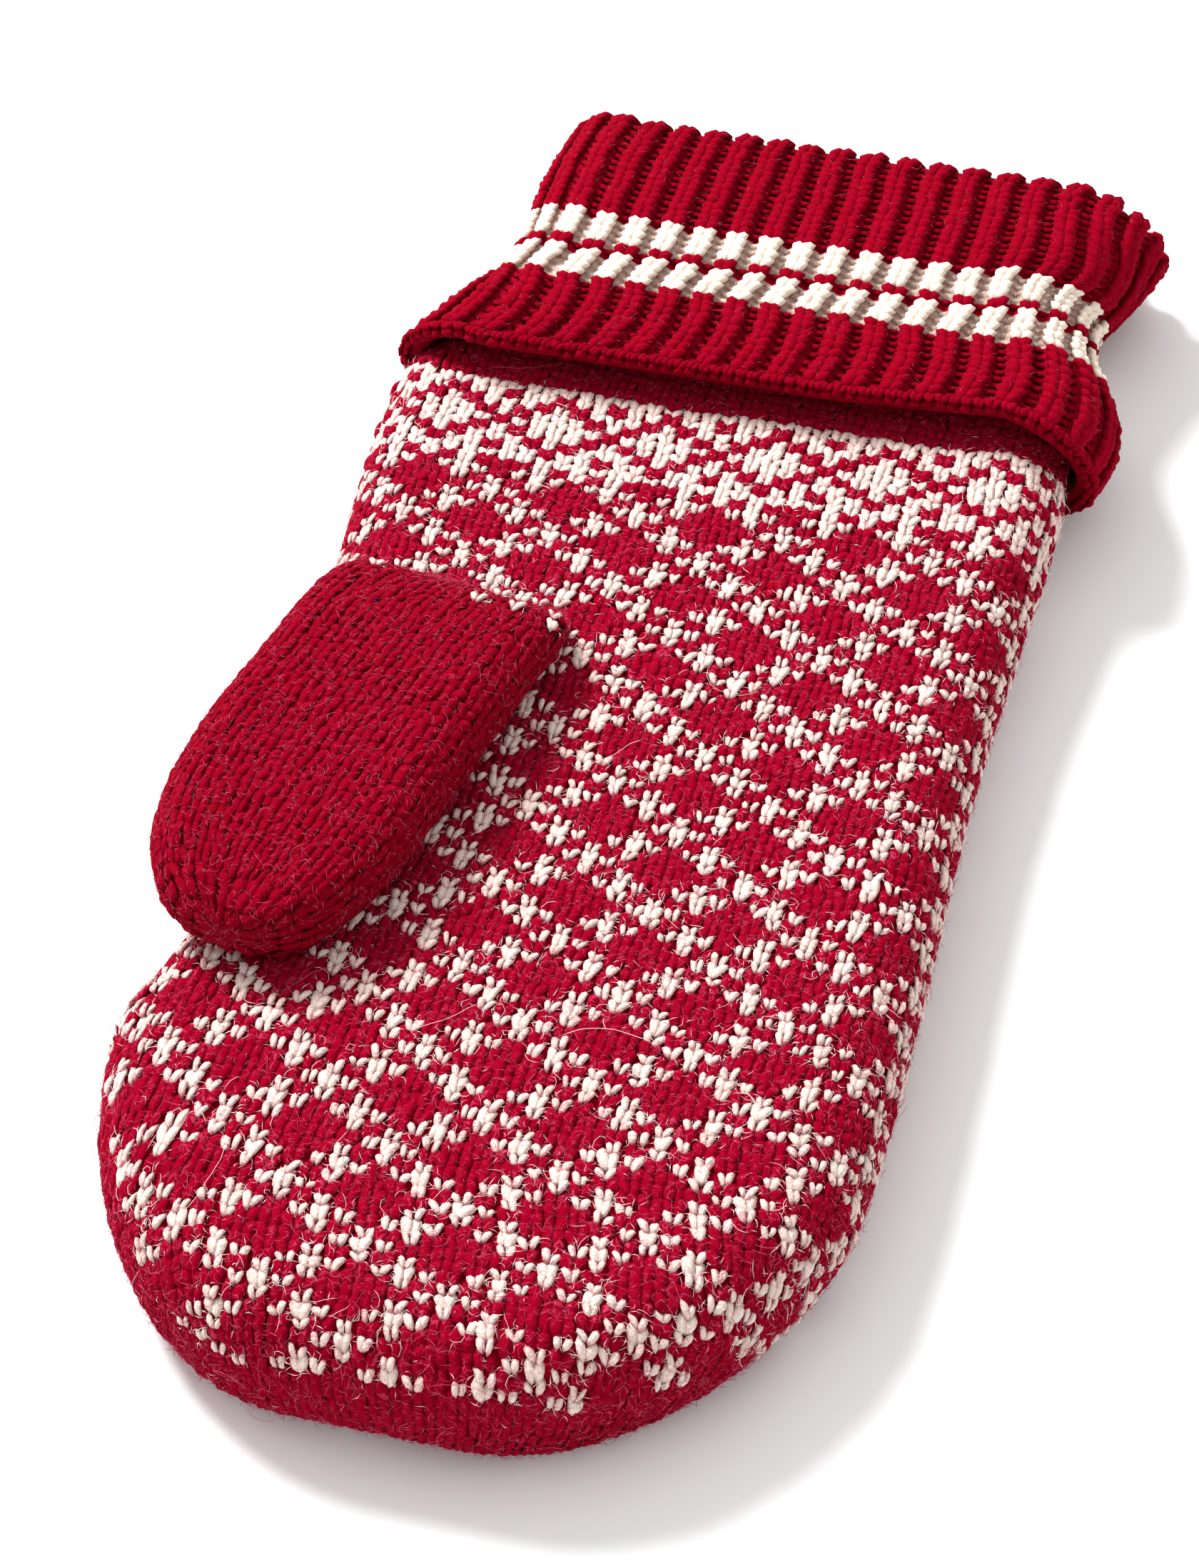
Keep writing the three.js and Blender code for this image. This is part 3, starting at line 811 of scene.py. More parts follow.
def tree_of(cad_name):
    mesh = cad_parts[cad_name].data
    places = [tuple(vertex.co) for vertex in mesh.vertices]
    return BVHTree.FromPolygons(places, [tuple(face.vertices) for face in mesh.polygons])


# Places are brought down onto the solid's own face, along their outward direction.
def laid_on(tree, places, outward, reach=4.0):
    laid = places.copy()
    starts = (places + outward * reach + SHIFT) * MM
    for index, (start, direction) in enumerate(zip(starts, outward)):
        hit = tree.ray_cast(Vector(start), Vector(-direction), 2 * reach * MM)[0]
        if hit is not None:
            laid[index] = np.array(hit) / MM - SHIFT
    return laid


# pattern of the palm

# White stitches of the lattice, by row of its repeat of eight.
LATTICE = [
    (3, 4, 5),
    (2, 4, 6),
    (1, 2, 3, 5, 6, 7),
    (0, 2, 6),
    (7, 0, 1),
    (0, 2, 6),
    (1, 2, 3, 5, 6, 7),
    (2, 4, 6),
]
LATTICE_FIRST_ROW = -27
FLOWER_FIRST_ROW = 60
FLOWER_LAST_ROW = 68
FLOWER_REPEAT = 6

# White stitches of the flower band, by distance from the flower's middle, row by row outwards.
FLOWER = {
    0: (0, 1, 2),
    1: (0, 1, 3),
    2: (0, 2, 3),
    3: (1, 2),
    4: (0, 1, 2, 3),
}


def is_white(column, row):
    if FLOWER_FIRST_ROW <= row <= FLOWER_LAST_ROW:
        from_middle = abs((column + FLOWER_REPEAT // 2) % FLOWER_REPEAT - FLOWER_REPEAT // 2)
        middle_row = (FLOWER_FIRST_ROW + FLOWER_LAST_ROW) // 2
        return from_middle in FLOWER[abs(row - middle_row)]
    if LATTICE_FIRST_ROW < row < FLOWER_FIRST_ROW:
        return column % len(LATTICE) in LATTICE[row % len(LATTICE)]
    return False


def white_ones(columns, rows):
    return np.array([is_white(int(column), int(row)) for column, row in zip(columns, rows)])


# How much of a leg borders on the other colour: by the stitch beside it, and by each of those
# above and below. A stitch whose legs both reach the last value is by itself.
BORDER_BESIDE = 0.6
BORDER_NEXT_ROW = 0.2
BY_ITSELF = 0.4


# shares of the left and the right leg of each stitch
def other_share(columns, rows, white):
    shares = np.zeros((len(columns), 2))
    for index, (column, row) in enumerate(zip(columns.astype(int), rows.astype(int))):
        above = is_white(column, row + 1) != white[index]
        below = is_white(column, row - 1) != white[index]
        for leg, beside in enumerate((1, -1)):
            side = is_white(column + beside, row) != white[index]
            shares[index, leg] = BORDER_BESIDE * side + BORDER_NEXT_ROW * above + BORDER_NEXT_ROW * below
    return shares


# the knitting on the hand

COLUMN_ZERO_X = 24.4
ROW_ZERO_Y = 44.15
COLUMNS = np.arange(-36, 18)
ROWS = np.arange(-36, 75)

# How the knitting is pulled out of square: y, then how far the columns drift to the right and
# how far the rows climb to the cuff, each at the left, the middle and the right.
PULL = np.array([
    (-12.0, 4.0, 4.3, 6.3, 3.0, 3.4, 5.8),
    (3.0, 2.0, 2.7, 4.2, -0.9, 1.1, 4.8),
    (11.5, 0.6, 1.6, 4.0, -2.2, -0.4, 3.0),
    (19.5, 0.0, 0.5, 3.0, -2.3, -0.8, 2.1),
    (30.0, 0.4, -0.3, 0.7, -0.6, -1.1, 1.0),
    (40.0, 0.8, -0.2, -0.2, 0.8, -0.6, 0.2),
    (60.0, 0.6, 0.1, -0.3, 1.7, -0.1, -0.8),
    (100.0, 0.8, 0.6, -0.5, -0.2, -1.1, -0.9),
    (130.0, 0.0, 0.4, 0.2, 0.2, -0.8, -0.9),
    (165.0, 0.2, 0.8, 0.8, -0.9, -1.4, -0.8),
])
PULL_SIDE_X = 33.0
PULL_PAST_SIDE = 1.2

# Past the sides the rows climb over the right rim, and near the tip the columns drift back.
RIM_CLIMB = 4.8
RIM_DRIFT = -4.0
RIM_FULL_X = 55.0
RIM_DRIFT_ENDS = (12, 40)

# slow waves of the columns and of the rows: depth, turn for a column, turn for a row, start
DRIFT_WAVES = ((0.22, 0.31, 0.19, 1.0), (0.16, -0.29, 0.47, 0.0))
CLIMB_WAVES = ((0.22, 0.23, 0.13, 0.0), (0.16, 0.53, -0.31, 0.7))


def across_of_three(u, left, middle, right):
    side = np.clip(u / PULL_SIDE_X, -PULL_PAST_SIDE, PULL_PAST_SIDE)
    return np.where(side < 0, middle + (middle - left) * side, middle + (right - middle) * side)


def waves(table, column, row):
    return sum(depth * np.sin(a * column + b * row + start) for depth, a, b, start in table)


def drifted(column, row):
    u = COLUMN_ZERO_X + STITCH * column
    v = ROW_ZERO_Y + ROW * row
    pull = read_table(PULL, np.clip(v, PULL[0, 0], PULL[-1, 0]))
    at_rim = smooth_share(u, PULL_SIDE_X, RIM_FULL_X)
    drift = across_of_three(u, *pull[:3]) + RIM_DRIFT * at_rim * (1 - smooth_share(v, *RIM_DRIFT_ENDS))
    climb = across_of_three(u, *pull[3:]) + RIM_CLIMB * at_rim
    return u + drift + waves(DRIFT_WAVES, column, row), v + climb + waves(CLIMB_WAVES, column, row)


# how far apart the two places lie whose difference gives a direction, in stitches
FRAME_STEP = 0.2


def hand_frames(below):
    columns, rows = np.meshgrid(COLUMNS, ROWS)
    columns, rows = columns.ravel().astype(float), rows.ravel().astype(float)
    u, v = drifted(columns, rows)
    place, outward, turn = hand_sheet(u, v, below)

    def beside(columns_on, rows_on):
        return hand_sheet(*drifted(columns + columns_on, rows + rows_on), below)[0]

    east = (beside(FRAME_STEP, 0) - beside(-FRAME_STEP, 0)) / (2 * FRAME_STEP * STITCH)
    north = (beside(0, FRAME_STEP) - beside(0, -FRAME_STEP)) / (2 * FRAME_STEP * ROW)
    return columns, rows, v, place, outward, turn, east, north


# what the thumb hides of the palm: how far inside its edges, and from and to where along the hand
THUMB_HIDES_INSET = 5.5
THUMB_HIDES_FROM_Y = 60
THUMB_HIDES_TO_Y = 119


def under_thumb(place):
    middle, half = read_table(THUMB_SECTIONS, place[:, 1])[:2]
    inside = np.abs(place[:, 0] - middle) < half - THUMB_HIDES_INSET
    along = (place[:, 1] > THUMB_HIDES_FROM_Y) & (place[:, 1] < THUMB_HIDES_TO_Y)
    return inside & along & (place[:, 2] > RIM)


# Where the pattern stops on the rim round the tip: direction from the tip's middle in degrees, and
# how far round the rim.
RED_EDGE_MIDDLE_Y = 45.0
RED_EDGE = np.array([
    (-180, 160),
    (-160, 60),
    (-150, 55),
    (-110, 76),
    (-90, 78),
    (-60, 82),
    (-35, 95),
    (-25, 160),
])


def in_red_edge(place, turn, v):
    direction = np.degrees(np.arctan2(place[:, 1] - RED_EDGE_MIDDLE_Y, place[:, 0]))
    return (v < TIP_END_Y) & (np.degrees(turn) > np.interp(direction, *RED_EDGE.T))


# Where the palm's pattern ends on the thumb: distance from the middle line, then place along it.
THUMB_END_LINE = np.array([
    (-42, 119.5),
    (-36, 118.5),
    (-30, 117.2),
    (-24, 113.4),
    (-16, 112.6),
    (-10, 114.0),
])

# White stitches of the palm's last rows lie on the end of the thumb, up and towards the fingertips.
# They come from between the two places along the hand.
OVER_THUMB = unit(np.array([0.26, -1.02, 1.0]))
OVER_THUMB_LIFT = 0.5
OVER_THUMB_REACH = 25
OVER_THUMB_FROM_Y = 112
OVER_THUMB_TO_Y = 136

hand_tree = tree_of("hand")
thumb_tree = tree_of("thumb")


def over_thumb_end(place, east, north, outward):
    place, east, north, outward = [part.copy() for part in (place, east, north, outward)]
    over = np.zeros(len(place), bool)
    near = (place[:, 1] > OVER_THUMB_FROM_Y) & (place[:, 1] < OVER_THUMB_TO_Y)
    near &= (place[:, 0] < 0) & (place[:, 2] > RIM)
    for index in np.flatnonzero(near):
        start = Vector((place[index] + OVER_THUMB_REACH * OVER_THUMB + SHIFT) * MM)
        spot, normal = thumb_tree.ray_cast(start, Vector(-OVER_THUMB), OVER_THUMB_REACH * MM)[:2]
        if spot is None:
            continue
        spot = np.array(spot) / MM - SHIFT
        if spot[1] < np.interp(spot[0], *THUMB_END_LINE.T):
            continue
        up = unit(np.array(normal) + np.array([0, 0, 1]))
        place[index] = spot + OVER_THUMB_LIFT * up
        east[index] -= up * east[index].dot(up)
        north[index] -= up * north[index].dot(up)
        outward[index] = up
        over[index] = True
    return place, east, north, outward, over


# Where the palm's and the back's stitches end: on the rim, past the lip, and along the sheet.
PALM_TURN_END = math.radians(138)
BACK_OVERLAP = math.radians(6)
PALM_PAST_LIP = 14
PALM_END_V = 181
BACK_END_V = 178


def hand_stitches():
    columns, rows, v, place, outward, turn, east, north = hand_frames(False)
    keep = (turn <= PALM_TURN_END) & (place[:, 1] < LIP_MIDDLE_Y + PALM_PAST_LIP) & (v < PALM_END_V)
    hidden = under_thumb(place)
    place = laid_on(hand_tree, place, outward)
    place, east, north, outward, over = over_thumb_end(place, east, north, outward)
    parts = (columns, rows, v, place, outward, turn, east, north, over)
    columns, rows, v, place, outward, turn, east, north, over = picked(parts, keep & (over | ~hidden))
    white = white_ones(columns, rows) & ~in_red_edge(place, turn, v)
    other = other_share(columns, rows, white)
    parts = (place, east, north, outward, turn, v, white.astype(int), other, over)
    return picked(parts, white | ~over)


def back_stitches():
    *parts, turn, east, north = hand_frames(True)
    keep = (turn <= math.pi - PALM_TURN_END + BACK_OVERLAP) & (parts[2] < BACK_END_V)
    columns, rows, v, place, outward, east, north = picked((*parts, east, north), keep)
    place = laid_on(hand_tree, place, outward)
    white = white_ones(columns, rows)
    return place, east, north, outward, v, white.astype(int), other_share(columns, rows, white)


# Red stitches are broad and soft and fill the ground. White ones lie on it: plump and run into
# each other where one is above the other, smaller where a stitch is by itself.
RED_LEG = {"plump": 1.34, "flat": 0.6, "inner": 0.13, "outer": 0.37, "reach": 1.3, "loose": 1.3}
JOINED_LEG = {"plump": 1.08, "flat": 0.7, "inner": 0.055, "outer": 0.31, "reach": 1.22, "loose": 1.6}
LONE_LEG = {"plump": 0.78, "flat": 1.0, "inner": 0.06, "outer": 0.34, "reach": 1.0, "loose": 1.8}
BAND_LEG = {"plump": 1.08, "flat": 0.62, "inner": 0.06, "outer": 0.36, "reach": 1.28, "loose": 1.5}
BAND_RED_LEG = {**RED_LEG, "flat": 0.74}
BAND_FROM_V = ROW_ZERO_Y + ROW * (FLOWER_FIRST_ROW - 2)

# the hand's stitches are three pieces: name, and from and to where along the sheet
HAND_PARTS = (("fingers", -100, 62), ("palm", 62, 122), ("wrist", 122, 300))
ON_TOP = math.radians(20)
BACK_FLAT = 0.5


# the kinds of stitches in a cloth: red and white ones of the lattice and of the flower band
def kinds(white, other, v):
    lone, in_band = other.min(axis=1) >= BY_ITSELF, v > BAND_FROM_V
    white = white == 1
    return (
        (~white & ~in_band, RED_LEG),
        (~white & in_band, BAND_RED_LEG),
        (white & in_band, BAND_LEG),
        (white & ~in_band & ~lone, JOINED_LEG),
        (white & ~in_band & lone, LONE_LEG),
    )


place, east, north, outward, turn, v, white, other, over = hand_stitches()
hand_cloth = (place, east, north, outward, white)
for part_name, part_start, part_end in HAND_PARTS:
    own_part = (v >= part_start) & (v < part_end)
    groups = []
    for own, shape in kinds(white, other, v):
        groups += legs(*hand_cloth, own_part & own & (turn < ON_TOP), *FINE, other, **shape)
        groups += legs(*hand_cloth, own_part & own & (turn >= ON_TOP), *MIDDLING, other, **shape)
    add_piece("hand_stitches_" + part_name, groups, YARNS)

*back_cloth, back_v, back_white, back_other = back_stitches()
groups = []
for own, shape in kinds(back_white, back_other, back_v):
    flatter = {**shape, "flat": BACK_FLAT * shape["flat"]}
    groups += legs(*back_cloth, back_white, own, *COARSE, back_other, **flatter)
add_piece("hand_stitches_back", groups, YARNS)

add_backing("hand_backing", "hand")
add_backing("thumb_backing", "thumb")


# thumb

# Stitches round the thumb. Half as many go round it where it is narrower than THUMB_FULL_HALF.
# Their directions come from places this far to both sides: a share of a stitch round, and a step
# along the thumb. The thumb's way over its bends is measured in this many steps.
THUMB_STITCHES = 30
THUMB_FULL_HALF = 10.5
THUMB_REACH = 0.25
THUMB_STEP = 0.35
THUMB_MEASURED_STEPS = 600

# The last stitches are gathered on the blunt tip: share of the way out, and how many.
THUMB_GATHERED = ((0.75, 9), (0.25, 4))

# The thumb's own stitches give way to the palm's where those lie on it, and are flatter below.
OVER_CLEAR = 1.2
THUMB_LEG = {"inner": 0.15, "outer": 0.35, "plump": 1.28, "reach": 1.24, "loose": 1.4}
THUMB_TOP_FLAT = 0.54
THUMB_BELOW_FLAT = 0.3
THUMB_TOP_UP = -0.35


def thumb_rows():
    y = np.linspace(THUMB_SECTIONS[-1, 0], THUMB_SECTIONS[0, 0], THUMB_MEASURED_STEPS)
    high = read_table(THUMB_SECTIONS, y)[3]
    way = np.r_[0, np.cumsum(np.hypot(np.diff(y), np.diff(high)))]
    count = int(way[-1] / ROW)
    return np.interp((np.arange(count) + 0.5) * way[-1] / count, way, y)


def thumb_frames():
    frames = []
    for y in thumb_rows():
        half = float(read_table(THUMB_SECTIONS, np.array([y]))[1][0])
        number = THUMB_STITCHES if half > THUMB_FULL_HALF else THUMB_STITCHES // 2
        share = (np.arange(number) + 0.5) / number
        along_y = np.full(number, y)
        reach = THUMB_REACH / number
        east = thumb_sheet(share + reach, along_y) - thumb_sheet(share - reach, along_y)
        east = east / (2 * reach * number)
        north = unit(thumb_sheet(share, along_y + THUMB_STEP) - thumb_sheet(share, along_y - THUMB_STEP))
        right = -east / STITCH
        frames.append((thumb_sheet(share, along_y), right, north, unit(np.cross(right, north))))
    for way_out, number in THUMB_GATHERED:
        ring = thumb_sheet((np.arange(number) + 0.5) / number, np.full(number, THUMB_SECTIONS[0, 0]))
        middle = ring.mean(axis=0)
        north = unit(ring - middle)
        right = np.cross(north, np.array([0.0, -1.0, 0.0]))
        frames.append((middle + (ring - middle) * way_out, right, north, unit(np.cross(right, north))))
    return [np.concatenate(parts) for parts in zip(*frames)]


thumb_cloth = thumb_frames()
gaps = np.linalg.norm(thumb_cloth[0][:, None] - place[over][None], axis=2).min(axis=1)
thumb_cloth = picked(thumb_cloth, gaps > OVER_CLEAR)
thumb_top = thumb_cloth[3][:, 2] > THUMB_TOP_UP
thumb_cloth.append(np.zeros(len(thumb_top), int))
groups = legs(*thumb_cloth, thumb_top, *FINE, flat=THUMB_TOP_FLAT, **THUMB_LEG)
groups += legs(*thumb_cloth, ~thumb_top, *PLAIN, flat=THUMB_BELOW_FLAT, **THUMB_LEG)
add_piece("thumb_stitches", groups, [THUMB_WOOL])


# cuff

CUFF_ROW = 1.72
CUFF_FIRST_WAY = 0.66
CUFF_ROWS = 36
CUFF_INSIDE_ROWS = 15
WHITE_CUFF_ROWS = (10, 11, 12, 13, 15, 16, 17, 18)
TALL_ROW = 14
TALL_BY = 1.1

# How the ribs wander round the cuff on their way from the lip to the fold: way from the lip,
# then how many ribs they have moved at the right, in the middle and at the left of the top.
RIB_DRIFT = np.array([
    (-3.0, 0.40, -0.25, -0.84),
    (6.0, 0.56, 0.00, -0.80),
    (12.0, 0.72, 0.22, -0.50),
    (18.0, 0.80, 0.44, -0.10),
    (24.0, 0.32, 0.10, -0.26),
    (30.0, 0.06, -0.13, -0.38),
    (36.0, -0.24, -0.28, -0.45),
    (42.0, -0.06, -0.15, -0.42),
    (48.0, 0.30, 0.10, -0.26),
    (56.0, 0.72, 0.50, -0.12),
])
DRIFT_MIDDLE_RIB = 19.5
DRIFT_SIDE_RIBS = 6.0
DRIFT_PAST_SIDE = 1.1
DRIFT_STARTS_RIB = (5, 10)
DRIFT_ENDS_RIB = (29, 34)
DRIFT_ENDS_WAY = (62, 80)

# how far the rows climb to the fold at the right edge of the stripes, and where that starts and ends
STRIPE_CLIMB = 7.0
CLIMB_STARTS_RIB = (1, 8)
CLIMB_ENDS_RIB = (10.5, 15.5)
CLIMB_STARTS_WAY = (4, 24)
CLIMB_ENDS_WAY = (34, 60)


def row_way(row):
    return CUFF_FIRST_WAY + CUFF_ROW * row + TALL_BY * np.clip(row - TALL_ROW + 0.5, 0, 1)


# where a stitch of the cuff lies on its sheet once the ribs have wandered
def wandered(share, way):
    right, middle, left = read_table(RIB_DRIFT, np.clip(way, RIB_DRIFT[0, 0], RIB_DRIFT[-1, 0]))
    ribs = np.mod(share, 1.0) * RIBS
    side = np.clip((ribs - DRIFT_MIDDLE_RIB) / DRIFT_SIDE_RIBS, -1, DRIFT_PAST_SIDE)
    drift = np.where(side < 0, middle + (middle - right) * side, middle + (left - middle) * side)
    drift = drift * smooth_share(ribs, *DRIFT_STARTS_RIB) * (1 - smooth_share(ribs, *DRIFT_ENDS_RIB))
    share = share + drift * (1 - smooth_share(way, *DRIFT_ENDS_WAY)) / RIBS
    ribs = np.mod(share, 1.0) * RIBS
    climb = smooth_share(ribs, *CLIMB_STARTS_RIB) * (1 - smooth_share(ribs, *CLIMB_ENDS_RIB))
    climb = climb * smooth_share(way, *CLIMB_STARTS_WAY) * (1 - smooth_share(way, *CLIMB_ENDS_WAY))
    climb = STRIPE_CLIMB * climb
    return share, way + climb


def cuff_place(share, way, sunk):
    return cuff_sheet(*wandered(share, way), sunk)


CUFF_REACH = 0.1
CUFF_STEP = 0.3


# Places and directions of the cuff's stitches. Directions come from places to both sides: CUFF_REACH
# of a stitch round, and CUFF_STEP along. The stitches widen and narrow with the cloth.
def cuff_frames(share_start, number, sunk, rows):
    frames = []
    for row in rows:
        share = (np.arange(number) + share_start) / number
        way = np.full(number, row_way(row))
        reach = CUFF_REACH / number
        west = cuff_place(share + reach, way, sunk) - cuff_place(share - reach, way, sunk)
        west = west / (2 * reach * RIBS * RIB_PITCH)
        north = unit(cuff_place(share, way + CUFF_STEP, sunk) - cuff_place(share, way - CUFF_STEP, sunk))
        up = unit(np.cross(north, west))
        frames.append((cuff_place(share, way, sunk), -west, north, up, np.full(number, row)))
    return [np.concatenate(parts) for parts in zip(*frames)]


def cuff_colour(rows):
    return np.isin(rows, WHITE_CUFF_ROWS).astype(int)


# The cuff's cloth behind its stitches, from the lip over the fold to the seam inside and back.
# It thins towards the lip, and its furrows are sunk between the ribs.
CLOTH_THICK = 3.0
LIP_THICK = 2.9
LIP_THIN_TO = 9.0
SEAM_FROM_LIP = 17.6
RIDGE_SUNK = 0.2
LIP_SUNK = 0.6
LIP_WAY = 0.5
LIP_LEVEL_TO = 3
FOLD_WAYS = np.linspace(61, 69, 5)
INSIDE_FROM_WAY = 74
INSIDE_RINGS = 7
INNER_RING_EACH = 3


def cuff_shell():
    seam_way = 2 * (CUFF_LENGTH - CUFF_LAYERS / 2) + math.pi * CUFF_LAYERS / 2 - SEAM_FROM_LIP
    row_ways = row_way(np.arange(0, CUFF_ROWS - 2.0)) + CUFF_ROW / 2
    inside_ways = np.linspace(INSIDE_FROM_WAY, seam_way, INSIDE_RINGS)
    ways = np.concatenate([[LIP_WAY], row_ways, FOLD_WAYS, inside_ways])
    share = np.arange(3 * RIBS) / (3 * RIBS)
    furrow = np.tile([0.0, 0.0, 1.0], RIBS)
    outer_rings, inner_rings = [], []
    for way in ways:
        sunk = LIP_SUNK + 0 * furrow if way < LIP_LEVEL_TO else RIDGE_SUNK + RIB_DEPTH * furrow
        outer_rings.append(cuff_place(share, np.full(len(share), way), sunk))
    for way in ways[::-INNER_RING_EACH]:
        thick = LIP_THICK + (CLOTH_THICK - LIP_THICK) * float(smooth_share(way, LIP_WAY, LIP_THIN_TO))
        inner_rings.append(cuff_place(share, np.full(len(share), way), np.full(len(share), thick)))
    return outer_rings + inner_rings, np.isin(np.arange(len(ways)), WHITE_CUFF_ROWS)


# A closed shell from rings of points, the last ring joined to the first.
def add_shell(name, cad_name, slot, rings, pale):
    shape = bmesh.new()
    loops = []
    for ring in rings:
        corners = [shape.verts.new((place + SHIFT) * MM) for place in ring]
        loops.append([shape.edges.new((corners[k - 1], corners[k])) for k in range(len(corners))])
    # Faces between rings of the stripes' rows take the cream backing, which is painted in shade.
    for number, loop in enumerate(loops):
        following = loops[(number + 1) % len(loops)]
        made = bmesh.ops.bridge_loops(shape, edges=loop + following)
        for face in made["faces"]:
            face.material_index = int(number < len(pale) and pale[number])
    bmesh.ops.recalc_face_normals(shape, faces=shape.faces)
    shell = as_piece(name, mesh_of(name, shape), [BACKING, SHADED_PALE_BACKING])
    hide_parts(cad_name)


add_shell("cuff_backing", "cuff", "cuff_wool", *cuff_shell())

# Ribs are knit columns with purl bumps sunk between them. The bumps' rows: whether they are in
# the stripes, how far they are sunk, their width, how plump and how flat they are.
RIB_LEG = {"width": 4.1, "row": CUFF_ROW * 1.35, "plump": 1.75, "inner": 0.08, "outer": 0.25}
RIB_SUNK = 0.2
RIB_SHOWN_UP = -0.3
RIB_SHOWN_FLAT = 0.85
RIB_HIDDEN_FLAT = 0.7
FURROW_BUMPS = ((False, 0.85, 2.6, 1.1, 0.6), (True, 1.5, 2.7, 1.2, 0.7))

# shares of a rib from its start to the middle of the knit column and of the furrow
KNIT_SHARE = 1 / 6
FURROW_SHARE = 2 / 3

# The lip has three small stitches to a rib, all level, and a row of knobs round its edge.
LIP_ROWS = 1
LIP_LEG = {"width": 1.75, "row": CUFF_ROW}
LIP_STITCH_SUNK = 0.25
KNOB_SHARE = 0.3
KNOB_SUNK = 1.0
KNOB_ROW = -0.45
KNOB_WIDTH = 2.0
KNOB_PLUMP = 1.5
KNOB_LOOSE = 2.0

all_rows = np.arange(LIP_ROWS, CUFF_ROWS + CUFF_INSIDE_ROWS)
*rib_cloth, rib_rows = cuff_frames(KNIT_SHARE, RIBS, RIB_SUNK, all_rows)
rib_white = cuff_colour(rib_rows)
shown = (rib_cloth[3][:, 2] > RIB_SHOWN_UP) & (rib_rows < CUFF_ROWS)
groups = legs(*rib_cloth, rib_white, shown, *FINE, flat=RIB_SHOWN_FLAT, **RIB_LEG)
groups += legs(*rib_cloth, rib_white, ~shown, *PLAIN, flat=RIB_HIDDEN_FLAT, **RIB_LEG)
for in_stripe, sunk, width, plump, flat in FURROW_BUMPS:
    bump_rows = all_rows[np.isin(all_rows, WHITE_CUFF_ROWS) == in_stripe]
    *furrow_cloth, furrow_rows = cuff_frames(FURROW_SHARE, RIBS, sunk, bump_rows)
    bump = purl_bump(*PLAIN, width, plump)
    groups.append(copies(bump, *furrow_cloth, cuff_colour(furrow_rows), flat=flat))

*lip_cloth, lip_rows = cuff_frames(KNIT_SHARE, 3 * RIBS, LIP_STITCH_SUNK, np.arange(LIP_ROWS))
groups += legs(*lip_cloth, cuff_colour(lip_rows), slice(None), *MIDDLING, **LIP_LEG)
*knob_cloth, knob_rows = cuff_frames(KNOB_SHARE, 3 * RIBS, KNOB_SUNK, np.array([KNOB_ROW]))
knob = purl_bump(*MIDDLING, KNOB_WIDTH, KNOB_PLUMP)
groups.append(copies(knob, *knob_cloth, cuff_colour(knob_rows), loose=KNOB_LOOSE))
add_piece("cuff_stitches", groups, CUFF_YARNS)


# loose fibres

# Hairs that would reach farther than this past the solids are left out.
LOOSE_PAST = 3.0
HAIR_LOW = np.array(cad_low) / MM - SHIFT - LOOSE_PAST
HAIR_HIGH = np.array(cad_high) / MM - SHIFT + LOOSE_PAST

# Height of a hair's root, and of the lowest hair over the floor. Hairs rise by this share of their
# kind's rise, unsteadily, droop at their ends, and turn by this share of their curl at each step.
HAIR_ROOT = 0.35
HAIR_OVER_FLOOR = 0.2
HAIR_RISES = (0.4, 1.0)
HAIR_UNSTEADY = 0.12
HAIR_DROOP = 1.5
HAIR_WANDER = 0.35
HAIR_SIDES = 3

# Kinds of hairs: steps, shortest, longest, how steeply they rise, how they curl, and radius.
# Frayed ones stand for tufts of several fibres, so they are thicker than the rest.
LYING_HAIR = (5, 1.4, 3.8, 0.35, 0.8, 0.03)
STANDING_HAIR = (3, 0.9, 2.0, 0.9, 0.6, 0.04)
FRAYED_HAIR = (3, 0.8, 1.7, 0.1, 0.5, 0.06)
LONG_HAIR = (10, 7.0, 15.0, 0.5, 0.3, 0.03)


